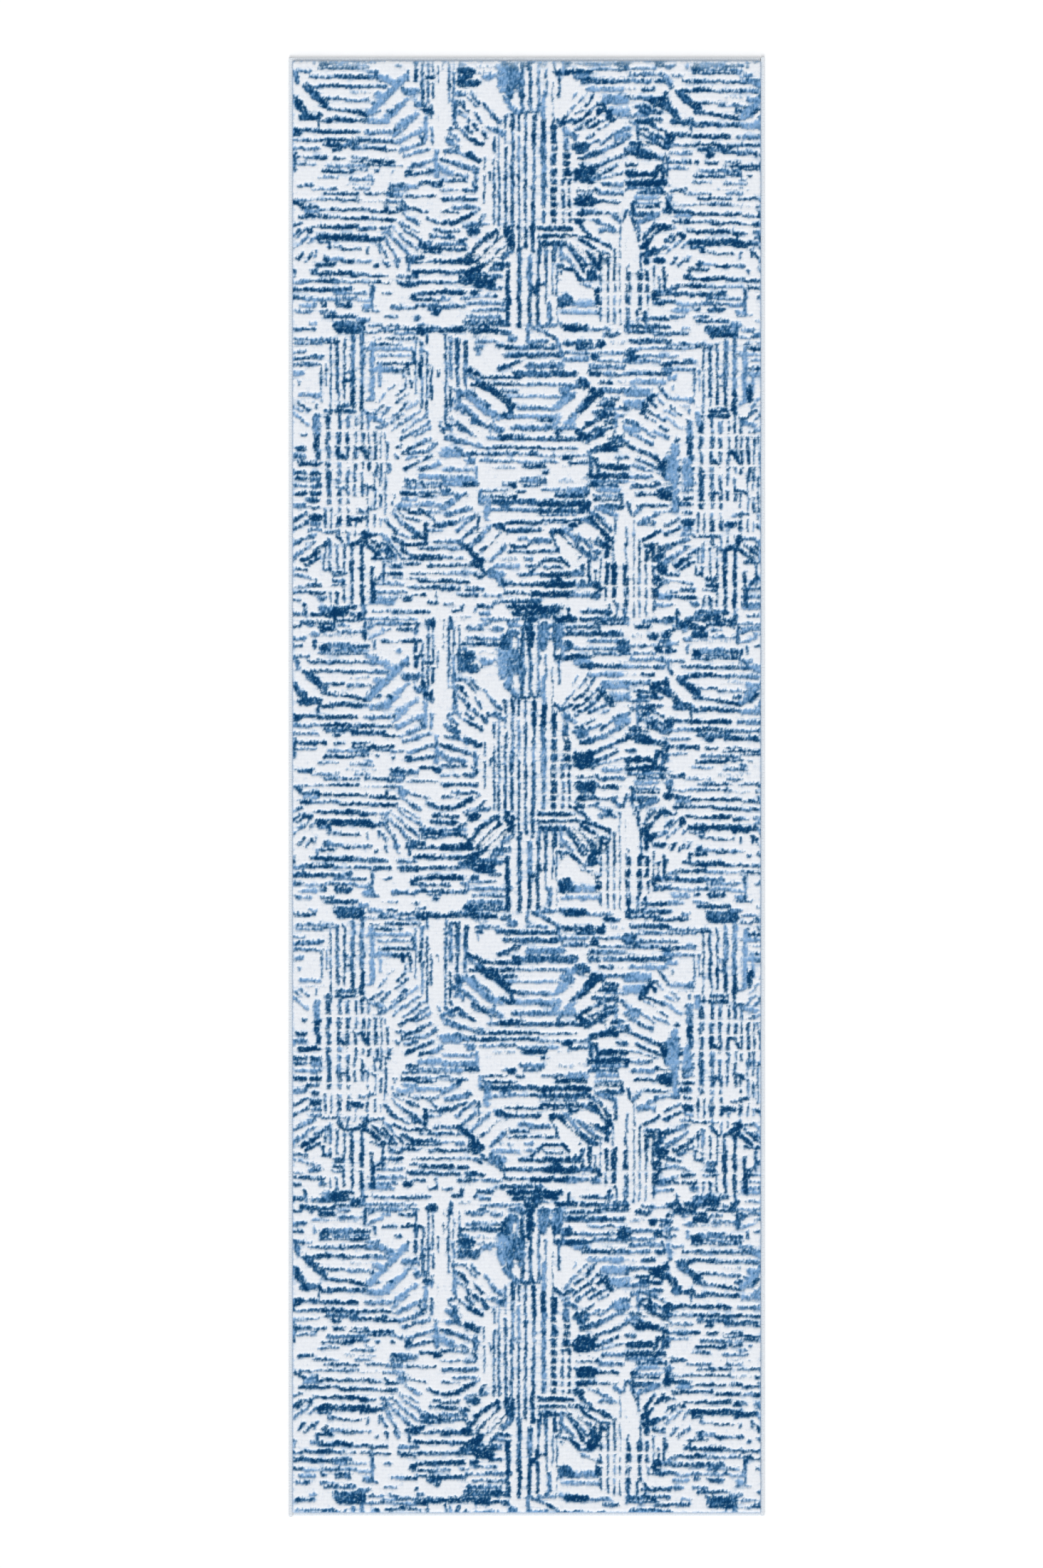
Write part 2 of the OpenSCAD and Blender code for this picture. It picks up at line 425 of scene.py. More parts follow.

# Blue strokes across the rug, the faint ones also painted shadow lines: (x from, x to, y, width, shade)
across = [
    # Upright medallion, top
    (-100, -45, 245, 5, MIXED), (-112, -38, 236, 6, DEEP), (-100, -72, 262, 7, MIXED),
    (-58, -40, 260, 7, MIXED), (-80, -62, 268, 6, MIXED), (-50, -18, 226, 6, SKY),
    (-72, -45, 206, 10, SKY), (-112, -88, 216, 13, NAVY), (-112, -78, 196, 14, DEEP),
    (-112, -98, 226, 6, MIXED), (-95, -35, 222, 3, FAINT_AND_SHADOW_LINE), (-90, -60, 212, 3, FAINT_AND_SHADOW_LINE),
    (-122, -100, 177, 6, MIXED), (-122, -105, 163, 6, MIXED),
    (-22, 20, 148, 4, NAVY), (50, 122, 264, 5, DEEP), (60, 160, 253, 8, DEEP),
    (100, 160, 241, 4, MIXED), (80, 152, 228, 5, MIXED), (110, 168, 219, 5, MIXED),
    (48, 110, 214, 9, NAVY), (78, 106, 206, 9, SKY), (90, 168, 199, 7, DEEP),
    (102, 160, 185, 7, SKY), (128, 168, 168, 14, SKY), (138, 168, 149, 16, SKY),
    (62, 72, 232, 18, DEEP), (152, 168, 232, 20, DEEP), (120, 168, 269, 5, DEEP),
    (20, 60, 268, 5, MIXED), (125, 168, 207, 2, FAINT_AND_SHADOW_LINE), (-30, -10, 268, 8, MIXED),
    # Upright medallion, left side
    (-136, -112, 82, 6, MIXED), (-142, -98, 34, 5, DEEP), (-142, -112, 18, 3, MIXED),
    (-104, -84, 18, 6, MIXED), (-140, -82, 3, 6, DEEP), (-122, -82, -10, 5, MIXED),
    (-142, -112, -18, 3, DEEP), (-142, -112, -50, 5, DEEP), (-142, -118, -60, 7, DEEP),
    (-142, -100, -72, 6, MIXED), (-142, -100, -80, 6, DEEP), (-142, -88, -101, 8, NAVY),
    (-142, -80, -118, 6, DEEP), (-142, -60, -135, 5, DEEP), (-84, -55, -138, 14, NAVY),
    (-142, -104, -151, 8, NAVY), (-92, -82, -151, 10, NAVY), (-142, -128, -163, 5, MIXED),
    (-110, -96, -162, 4, MIXED), (-96, -50, -158, 3, MIXED), (-100, -25, -170, 5, MIXED),
    (-142, -102, -175, 6, DEEP), (-90, -30, -181, 4, MIXED), (-98, -42, -192, 6, MIXED),
    (-104, -28, -199, 4, DEEP), (-130, -60, -211, 6, DEEP), (-108, -92, -97, 18, NAVY),
    (-94, -80, -50, 12, NAVY), (-62, -42, -146, 5, DEEP), (-52, -25, -105, 8, DEEP),
    (-60, -42, -125, 9, MIXED),
    # Upright medallion, foot
    (20, 58, -45, 9, NAVY), (60, 76, -47, 8, NAVY), (20, 76, -58, 6, NAVY),
    (24, 62, -70, 9, NAVY), (20, 35, -138, 7, NAVY), (4, 20, -147, 10, NAVY),
    (-18, 20, -207, 5, MIXED), (22, 48, -207, 6, MIXED), (56, 120, -170, 10, SKY),
    (58, 120, -185, 5, SKY), (56, 84, -206, 7, MIXED), (84, 118, -147, 4, MIXED),
    (62, 66, -165, 22, DEEP),
    # Upright medallion, right side
    (96, 152, -1, 5, NAVY), (84, 120, 18, 5, DEEP), (120, 160, 13, 6, MIXED),
    (98, 150, -20, 4, DEEP), (104, 120, -31, 3, MIXED), (120, 148, -49, 8, MIXED),
    (84, 107, 44, 30, NAVY), (84, 112, 0, 20, NAVY), (84, 98, -20, 10, NAVY),
    (80, 93, -33, 11, NAVY), (82, 98, 90, 20, DEEP), (112, 127, -100, 28, NAVY),
    (104, 113, -122, 20, NAVY), (126, 160, 28, 6, MIXED),
    # Level medallion, below its middle
    (-140, -86, 510, 9, SKY), (-142, -100, 500, 7, SKY), (-102, -80, 501, 8, NAVY),
    (-40, -26, 500, 4, MIXED), (-29, -19, 499, 9, NAVY), (-6, 22, 499, 4, DEEP),
    (-12, 30, 507, 8, MIXED), (54, 76, 506, 5, FAINT_AND_SHADOW_LINE), (88, 102, 509, 5, FAINT_AND_SHADOW_LINE),
    (-142, -128, 490, 7, DEEP), (-78, -35, 490, 3, DEEP), (-16, -4, 489, 5, DEEP),
    (24, 72, 491, 4, MIXED), (68, 100, 490, 12, MIXED), (-142, -98, 484, 4, MIXED),
    (-78, -18, 480, 4, DEEP), (48, 100, 482, 7, NAVY), (-72, 16, 471, 8, DEEP),
    (20, 106, 469, 10, NAVY), (-64, 20, 458, 5, MIXED), (20, 96, 457, 8, DEEP),
    (22, 82, 450, 3, MIXED), (24, 112, 441, 5, NAVY), (-36, 26, 437, 5, NAVY),
    (28, 92, 436, 2, DEEP), (-38, 23, 424, 7, DEEP), (40, 60, 420, 14, NAVY),
    (60, 76, 428, 5, MIXED), (70, 85, 433, 7, NAVY), (-14, 2, 410, 5, MIXED),
    (2, 38, 407, 9, MIXED), (-28, 2, 398, 6, DEEP), (-32, 54, 389, 4, DEEP),
    (-42, -18, 376, 5, FAINT_AND_SHADOW_LINE), (-2, 10, 377, 6, MIXED), (27, 60, 376, 7, NAVY),
    (-56, -12, 365, 7, SKY), (0, 22, 366, 4, MIXED), (30, 60, 363, 4, DEEP),
    (-62, -38, 351, 13, SKY), (-12, 26, 351, 6, DEEP), (25, 76, 351, 9, NAVY),
    (76, 98, 352, 12, MIXED), (-46, 30, 335, 6, DEEP), (30, 82, 335, 11, NAVY),
    (82, 122, 334, 8, MIXED), (-38, 14, 320, 4, DEEP), (8, 80, 319, 9, NAVY),
    (70, 104, 318, 7, MIXED), (106, 122, 316, 8, DEEP), (-44, 25, 307, 7, DEEP),
    (-30, 60, 297, 8, NAVY), (14, 52, 291, 12, NAVY), (-22, 22, 287, 8, NAVY),
    (-76, -12, 276, 4, MIXED), (-4, 16, 276, 12, NAVY), (16, 38, 282, 6, MIXED),
    (-142, -110, 405, 5, MIXED), (-142, -100, 394, 4, MIXED), (-142, -124, 380, 4, MIXED),
    (-118, -104, 378, 5, MIXED), (-142, -84, 366, 4, DEEP), (-142, -74, 353, 3, MIXED),
    (-142, -120, 340, 6, NAVY), (-116, -95, 339, 5, NAVY), (-142, -112, 328, 7, DEEP),
    (-100, -72, 327, 8, DEEP), (-114, -82, 317, 5, DEEP), (-72, -42, 316, 5, MIXED),
    (-140, -124, 303, 4, MIXED), (-56, -34, 305, 4, MIXED), (-82, -56, 298, 6, DEEP),
    (-76, -60, 286, 5, MIXED), (-112, -94, 280, 4, FAINT_AND_SHADOW_LINE), (-90, -76, 372, 20, NAVY),
    (-50, -40, 430, 14, DEEP), (-42, -28, 467, 12, DEEP),
    (90, 142, 290, 6, DEEP), (48, 82, 278, 10, NAVY), (90, 168, 277, 7, DEEP),
    (112, 142, 269, 5, DEEP), (102, 168, 515, 10, NAVY), (108, 168, 506, 5, MIXED),
    (102, 150, 499, 5, DEEP), (116, 152, 491, 7, SKY), (112, 156, 481, 4, MIXED),
    (112, 156, 475, 3, NAVY), (122, 158, 464, 10, DEEP), (76, 122, 327, 4, FAINT_AND_SHADOW_LINE),
    (112, 124, 328, 12, NAVY), (104, 122, 388, 8, DEEP), (-6, 12, 266, 8, DEEP),
    # Level medallion, above its middle
    (-142, -95, 756, 6, NAVY), (-92, -48, 755, 8, NAVY), (-42, -28, 752, 8, DEEP),
    (-104, -14, 766, 6, DEEP), (-86, -48, 737, 5, MIXED), (-86, -68, 746, 4, FAINT_AND_SHADOW_LINE),
    (-50, -38, 730, 7, DEEP), (-84, -74, 728, 7, DEEP), (-36, 52, 728, 7, DEEP),
    (0, 34, 738, 5, MIXED), (-38, 60, 715, 8, DEEP), (0, 60, 697, 9, MIXED),
    (-20, 82, 684, 11, DEEP), (-78, -10, 678, 6, NAVY), (-94, -20, 666, 6, NAVY),
    (-20, 84, 666, 4, MIXED), (-62, -15, 655, 5, DEEP), (-42, 62, 646, 4, SKY),
    (-14, 44, 627, 6, MIXED), (-26, 56, 613, 8, SKY), (12, 48, 607, 5, DEEP),
    (-23, 82, 594, 8, MIXED), (-36, -4, 582, 3, DEEP), (-48, -22, 577, 10, NAVY),
    (-64, -46, 576, 4, MIXED), (-22, 92, 576, 7, DEEP), (-74, 20, 562, 5, NAVY),
    (20, 84, 560, 3, DEEP), (-104, 20, 551, 5, DEEP), (20, 102, 548, 3, MIXED),
    (58, 76, 544, 6, NAVY), (-78, -18, 540, 4, MIXED), (-16, 52, 537, 4, MIXED),
    (70, 102, 537, 5, DEEP), (-6, 30, 530, 8, NAVY), (-54, -20, 528, 4, FAINT_AND_SHADOW_LINE),
    (54, 72, 530, 4, FAINT_AND_SHADOW_LINE), (25, 35, 520, 5, NAVY), (64, 100, 760, 12, NAVY),
    (100, 140, 758, 5, MIXED), (60, 108, 735, 8, DEEP), (118, 128, 733, 12, NAVY),
    (128, 152, 749, 7, DEEP), (140, 160, 735, 5, FAINT_AND_SHADOW_LINE), (82, 112, 727, 6, DEEP),
    (60, 168, 718, 4, MIXED), (60, 102, 707, 7, MIXED), (108, 118, 712, 12, NAVY),
    (118, 168, 705, 4, MIXED), (104, 168, 695, 6, MIXED), (104, 120, 683, 7, DEEP),
    (128, 168, 683, 6, MIXED), (120, 142, 670, 6, DEEP), (150, 168, 670, 3, FAINT_AND_SHADOW_LINE),
    (112, 168, 656, 6, MIXED), (128, 152, 642, 5, DEEP), (128, 146, 634, 9, NAVY),
    (130, 168, 627, 5, MIXED), (108, 135, 619, 6, DEEP), (148, 168, 614, 5, MIXED),
    (130, 148, 605, 6, DEEP), (122, 160, 580, 8, DEEP), (90, 104, 580, 13, NAVY),
    (120, 152, 559, 8, NAVY), (150, 168, 545, 6, DEEP), (126, 168, 530, 10, NAVY),
    (-140, -108, 553, 14, SKY), (-106, -82, 551, 8, NAVY), (-104, -86, 538, 10, MIXED),
    (-138, -86, 524, 5, SKY), (-112, -84, 648, 18, DEEP), (84, 100, 668, 18, DEEP),
    (62, 76, 648, 16, MIXED), (64, 82, 606, 16, SKY), (-140, -124, 590, 12, MIXED),
    (20, 32, 766, 9, MIXED), (-30, -18, 742, 10, MIXED), (60, 84, 596, 4, FAINT_AND_SHADOW_LINE),
    # Outer column, upper part
    (-385, -350, 758, 5, DEEP), (-320, -268, 769, 4, DEEP), (-314, -270, 756, 9, NAVY),
    (-262, -240, 764, 5, MIXED), (-228, -214, 764, 4, DEEP), (-181, -170, 766, 5, MIXED),
    (-268, -246, 752, 3, MIXED), (-245, -222, 754, 4, DEEP), (-220, -182, 751, 4, MIXED),
    (-182, -166, 753, 7, NAVY), (-168, -142, 755, 6, NAVY), (-258, -245, 741, 3, DEEP),
    (-234, -178, 742, 4, DEEP), (-258, -222, 733, 5, NAVY), (-222, -206, 733, 3, MIXED),
    (-384, -320, 741, 4, MIXED), (-384, -338, 734, 4, MIXED), (-338, -312, 736, 4, NAVY),
    (-265, -190, 724, 5, SKY), (-245, -190, 714, 3, SKY), (-386, -368, 720, 3, MIXED),
    (-388, -360, 710, 5, DEEP), (-358, -338, 712, 7, MIXED), (-386, -340, 699, 5, MIXED),
    (-247, -188, 701, 4, NAVY), (-260, -222, 691, 7, SKY), (-222, -200, 690, 6, DEEP),
    (-384, -370, 685, 8, SKY), (-378, -342, 649, 5, SKY), (-352, -340, 646, 4, MIXED),
    (-365, -335, 638, 2, FAINT_AND_SHADOW_LINE), (-315, -284, 631, 6, DEEP), (-318, -284, 622, 6, NAVY),
    (-335, -324, 622, 5, DEEP), (-266, -252, 617, 4, DEEP), (-372, -366, 582, 6, DEEP),
    (-382, -366, 560, 7, NAVY), (-388, -366, 547, 8, MIXED), (-378, -342, 535, 8, NAVY),
    (-388, -366, 520, 8, DEEP), (-358, -342, 519, 7, DEEP), (-282, -270, 561, 5, NAVY),
    (-300, -286, 673, 4, DEEP), (-300, -289, 687, 3, MIXED),
    # Outer column, upright medallion
    (-386, -366, 511, 6, DEEP), (-386, -366, 499, 5, MIXED), (-387, -366, 485, 6, NAVY),
    (-385, -366, 465, 7, MIXED), (-358, -342, 509, 9, MIXED), (-358, -342, 498, 7, MIXED),
    (-358, -342, 486, 7, NAVY), (-366, -345, 475, 7, DEEP), (-357, -345, 462, 5, DEEP),
    (-358, -342, 446, 12, NAVY), (-356, -342, 434, 7, MIXED), (-314, -296, 495, 5, DEEP),
    (-290, -272, 442, 9, NAVY), (-278, -270, 455, 8, MIXED), (-262, -250, 460, 5, DEEP),
    (-340, -300, 421, 3, DEEP), (-275, -242, 418, 4, DEEP), (-302, -270, 401, 4, NAVY),
    (-258, -222, 379, 5, NAVY), (-320, -303, 352, 9, DEEP), (-322, -303, 341, 6, DEEP),
    (-325, -302, 333, 4, DEEP), (-336, -326, 359, 4, DEEP),
    # Outer column, beside and below it
    (-222, -195, 459, 3, DEEP), (-206, -182, 475, 5, SKY), (-208, -182, 485, 8, NAVY),
    (-182, -142, 487, 4, MIXED), (-180, -150, 481, 3, DEEP), (-200, -142, 502, 3, MIXED),
    (-200, -182, 507, 4, DEEP), (-178, -142, 513, 8, SKY), (-205, -185, 496, 5, MIXED),
    (-182, -142, 497, 3, MIXED), (-184, -142, 468, 6, SKY), (-214, -190, 466, 6, SKY),
    (-182, -144, 455, 4, MIXED), (-160, -142, 432, 4, DEEP), (-165, -142, 424, 4, MIXED),
    (-190, -166, 413, 5, DEEP), (-155, -145, 405, 5, DEEP), (-200, -165, 401, 5, NAVY),
    (-176, -142, 394, 4, DEEP), (-190, -145, 382, 5, DEEP), (-200, -142, 377, 4, NAVY),
    (-208, -176, 369, 4, DEEP), (-164, -142, 366, 4, DEEP), (-190, -142, 353, 3, DEEP),
    (-195, -168, 344, 3, MIXED), (-178, -142, 340, 5, NAVY), (-196, -142, 329, 5, DEEP),
    (-192, -166, 317, 4, DEEP), (-162, -148, 304, 5, DEEP), (-205, -192, 311, 9, NAVY),
    (-260, -222, 305, 7, SKY), (-262, -215, 312, 4, MIXED), (-262, -200, 322, 4, MIXED),
    (-258, -205, 335, 4, MIXED), (-250, -208, 346, 2, FAINT_AND_SHADOW_LINE), (-236, -206, 353, 6, DEEP),
    (-226, -206, 365, 6, MIXED), (-255, -222, 290, 3, MIXED), (-222, -160, 289, 5, DEEP),
    (-280, -182, 277, 4, MIXED), (-262, -182, 269, 5, MIXED), (-164, -152, 272, 13, NAVY),
    (-384, -368, 330, 3, MIXED), (-362, -340, 334, 6, DEEP), (-388, -366, 322, 4, DEEP),
    (-362, -335, 321, 5, NAVY), (-385, -375, 309, 4, MIXED), (-345, -335, 311, 9, MIXED),
    (-388, -368, 286, 6, DEEP), (-356, -322, 285, 8, DEEP), (-340, -320, 293, 10, MIXED),
    (-320, -300, 290, 18, NAVY), (-300, -285, 297, 7, NAVY), (-291, -284, 283, 7, DEEP),
    (-375, -345, 272, 7, DEEP), (-345, -320, 270, 6, NAVY), (-320, -280, 276, 5, NAVY),
    # Outer column, above the level medallion
    (-388, -374, 266, 4, DEEP), (-360, -354, 266, 5, MIXED), (-342, -320, 261, 10, NAVY),
    (-312, -295, 267, 4, MIXED), (-388, -366, 245, 6, MIXED), (-356, -345, 252, 6, SKY),
    (-345, -265, 250, 3, FAINT_AND_SHADOW_LINE), (-312, -290, 256, 5, MIXED), (-290, -268, 256, 4, MIXED),
    (-245, -200, 270, 4, MIXED), (-205, -178, 269, 5, DEEP), (-240, -226, 260, 3, SKY),
    (-214, -186, 260, 4, DEEP), (-240, -214, 240, 4, DEEP), (-207, -174, 241, 5, NAVY),
    (-388, -372, 233, 5, DEEP), (-342, -328, 229, 13, NAVY), (-328, -290, 233, 9, MIXED),
    (-320, -262, 225, 4, MIXED), (-345, -262, 220, 3, DEEP), (-288, -260, 232, 6, DEEP),
    (-378, -358, 215, 4, MIXED), (-265, -245, 215, 6, MIXED), (-217, -209, 224, 6, MIXED),
    (-360, -262, 206, 5, DEEP), (-262, -232, 206, 8, MIXED), (-370, -345, 190, 6, DEEP),
    (-345, -305, 192, 6, NAVY), (-305, -255, 190, 5, DEEP), (-255, -232, 190, 6, MIXED),
    (-290, -262, 180, 3, FAINT_AND_SHADOW_LINE), (-335, -302, 170, 4, DEEP), (-300, -262, 167, 4, MIXED),
    (-258, -240, 164, 5, NAVY), (-252, -232, 175, 9, SKY), (-265, -242, 149, 5, MIXED),
    (-375, -342, 140, 11, DEEP), (-340, -322, 133, 6, DEEP), (-328, -300, 136, 7, DEEP),
    (-300, -262, 134, 6, DEEP), (-262, -228, 132, 9, SKY), (-388, -375, 115, 13, NAVY),
    (-375, -345, 117, 6, DEEP), (-345, -280, 115, 6, NAVY), (-268, -225, 114, 6, MIXED),
    (-388, -340, 101, 4, MIXED), (-340, -300, 102, 6, NAVY), (-300, -212, 100, 5, DEEP),
    (-334, -280, 93, 7, DEEP), (-320, -310, 85, 9, NAVY), (-290, -235, 88, 7, DEEP),
    (-240, -205, 84, 4, NAVY), (-388, -345, 87, 4, MIXED), (-370, -345, 72, 6, DEEP),
    (-388, -374, 73, 5, DEEP), (-340, -332, 72, 6, NAVY), (-320, -302, 71, 4, NAVY),
    (-288, -262, 72, 3, DEEP), (-290, -256, 66, 3, DEEP), (-258, -220, 66, 5, NAVY),
    (-388, -350, 62, 3, MIXED), (-330, -262, 58, 5, MIXED), (-262, -225, 60, 3, NAVY),
    (-225, -205, 58, 3, MIXED), (-338, -288, 49, 5, NAVY), (-290, -262, 52, 4, DEEP),
    (-250, -245, 50, 4, DEEP), (-224, -220, 48, 4, DEEP), (-345, -312, 39, 3, MIXED),
    (-292, -252, 36, 4, MIXED), (-265, -255, 42, 4, MIXED), (-380, -355, 26, 5, DEEP),
    (-300, -250, 27, 2, FAINT_AND_SHADOW_LINE), (-205, -180, 182, 11, MIXED), (-200, -184, 168, 8, SKY),
    (-184, -166, 160, 9, MIXED), (-168, -152, 146, 6, MIXED), (-172, -156, 152, 7, NAVY),
    (-168, -156, 204, 5, NAVY), (-225, -200, 26, 7, DEEP), (-200, -180, 24, 8, MIXED),
    (-178, -142, 31, 5, NAVY), (-155, -142, 27, 7, NAVY), (-200, -192, 48, 9, NAVY),
    # Outer column, level medallion and below it
    (-355, -312, 20, 3, MIXED), (-285, -262, 20, 4, MIXED), (-335, -278, 12, 4, DEEP),
    (-268, -232, 12, 4, DEEP), (-232, -205, 10, 7, MIXED), (-225, -200, 19, 5, MIXED),
    (-200, -150, 8, 3, DEEP), (-385, -330, 1, 3, MIXED), (-330, -280, 2, 4, DEEP),
    (-280, -222, -1, 2, FAINT_AND_SHADOW_LINE), (-370, -345, -10, 6, DEEP), (-370, -345, -17, 6, SKY),
    (-345, -262, -14, 4, NAVY), (-260, -235, -17, 4, DEEP), (-234, -212, -18, 5, NAVY),
    (-234, -205, -1, 4, MIXED), (-212, -200, -10, 12, MIXED), (-376, -350, -26, 6, NAVY),
    (-350, -310, -26, 4, DEEP), (-310, -262, -29, 5, NAVY), (-262, -240, -30, 4, MIXED),
    (-240, -216, -31, 6, NAVY), (-354, -342, -42, 3, DEEP), (-340, -300, -43, 5, NAVY),
    (-300, -280, -42, 8, NAVY), (-276, -262, -46, 8, NAVY), (-262, -250, -46, 3, MIXED),
    (-362, -356, -50, 9, NAVY), (-348, -262, -60, 10, NAVY), (-275, -250, -64, 9, NAVY),
    (-250, -232, -62, 7, DEEP), (-345, -325, -68, 5, DEEP), (-330, -324, -75, 8, DEEP),
    (-322, -308, -77, 3, DEEP), (-308, -275, -80, 3, NAVY), (-335, -328, -96, 11, DEEP),
    (-325, -305, -97, 5, SKY), (-305, -285, -100, 6, NAVY), (-285, -258, -100, 4, MIXED),
    (-345, -318, -105, 4, NAVY), (-252, -248, -108, 6, DEEP), (-358, -345, -118, 6, DEEP),
    (-345, -290, -120, 7, NAVY), (-290, -262, -122, 5, DEEP), (-262, -230, -124, 5, DEEP),
    (-372, -345, -132, 6, DEEP), (-345, -320, -132, 7, NAVY), (-320, -258, -134, 4, MIXED),
    (-255, -242, -135, 5, DEEP), (-240, -226, -136, 4, NAVY), (-388, -370, -135, 6, MIXED),
    (-388, -360, -146, 7, DEEP), (-358, -302, -147, 7, DEEP), (-300, -290, -145, 8, DEEP),
    (-320, -265, -153, 4, MIXED), (-238, -225, -153, 4, MIXED), (-388, -370, -160, 6, DEEP),
    (-370, -340, -163, 4, SKY), (-340, -280, -162, 5, MIXED), (-280, -258, -165, 5, SKY),
    (-376, -350, -173, 6, SKY), (-340, -332, -171, 6, DEEP), (-315, -292, -172, 9, DEEP),
    (-270, -255, -176, 8, SKY), (-382, -358, -184, 5, MIXED), (-342, -318, -184, 4, MIXED),
    (-270, -245, -182, 3, MIXED), (-335, -318, -191, 6, DEEP), (-318, -282, -191, 6, DEEP),
    (-280, -262, -197, 7, MIXED), (-360, -348, -204, 4, SKY), (-318, -270, -207, 11, DEEP),
    (-236, -214, -192, 3, MIXED), (-186, -180, -194, 7, DEEP), (-240, -200, -212, 3, MIXED),
    (-210, -142, -211, 5, DEEP), (-225, -200, -176, 6, MIXED), (-200, -182, -177, 5, DEEP),
    (-182, -142, -173, 5, DEEP), (-165, -142, -180, 5, DEEP), (-155, -146, -186, 6, NAVY),
    (-190, -186, -158, 11, NAVY), (-190, -165, -163, 4, DEEP), (-186, -150, -153, 5, DEEP),
    (-165, -142, -151, 6, NAVY), (-165, -146, -164, 4, DEEP), (-215, -142, -135, 5, DEEP),
    (-208, -180, -139, 5, NAVY), (-214, -190, -125, 5, MIXED), (-190, -180, -124, 6, DEEP),
    (-188, -142, -117, 6, NAVY), (-192, -150, -102, 3, DEEP), (-200, -185, -98, 8, DEEP),
    (-160, -142, -100, 6, DEEP), (-190, -170, -94, 8, DEEP), (-175, -142, -84, 5, DEEP),
    (-175, -158, -74, 12, DEEP), (-158, -142, -76, 9, NAVY), (-160, -142, -58, 6, DEEP),
    (-155, -142, -48, 5, NAVY), (-242, -228, -45, 5, MIXED), (-240, -225, -53, 4, MIXED),
    # Deeper shade round the medallions
    (-110, -84, -128, 9, DEEP), (-100, -62, -123, 7, DEEP), (-84, -52, -130, 6, NAVY),
    (-104, -84, -88, 8, DEEP), (-112, -90, 206, 8, DEEP), (-60, -38, -112, 5, MIXED),
    (196, 216, 376, 7, NAVY), (200, 222, 398, 6, NAVY), (206, 222, 345, 10, NAVY),
    (282, 330, 289, 8, DEEP), (276, 300, 252, 12, NAVY), (250, 280, 268, 10, NAVY),
    (345, 356, 148, 8, DEEP), (366, 384, 150, 12, NAVY),
]

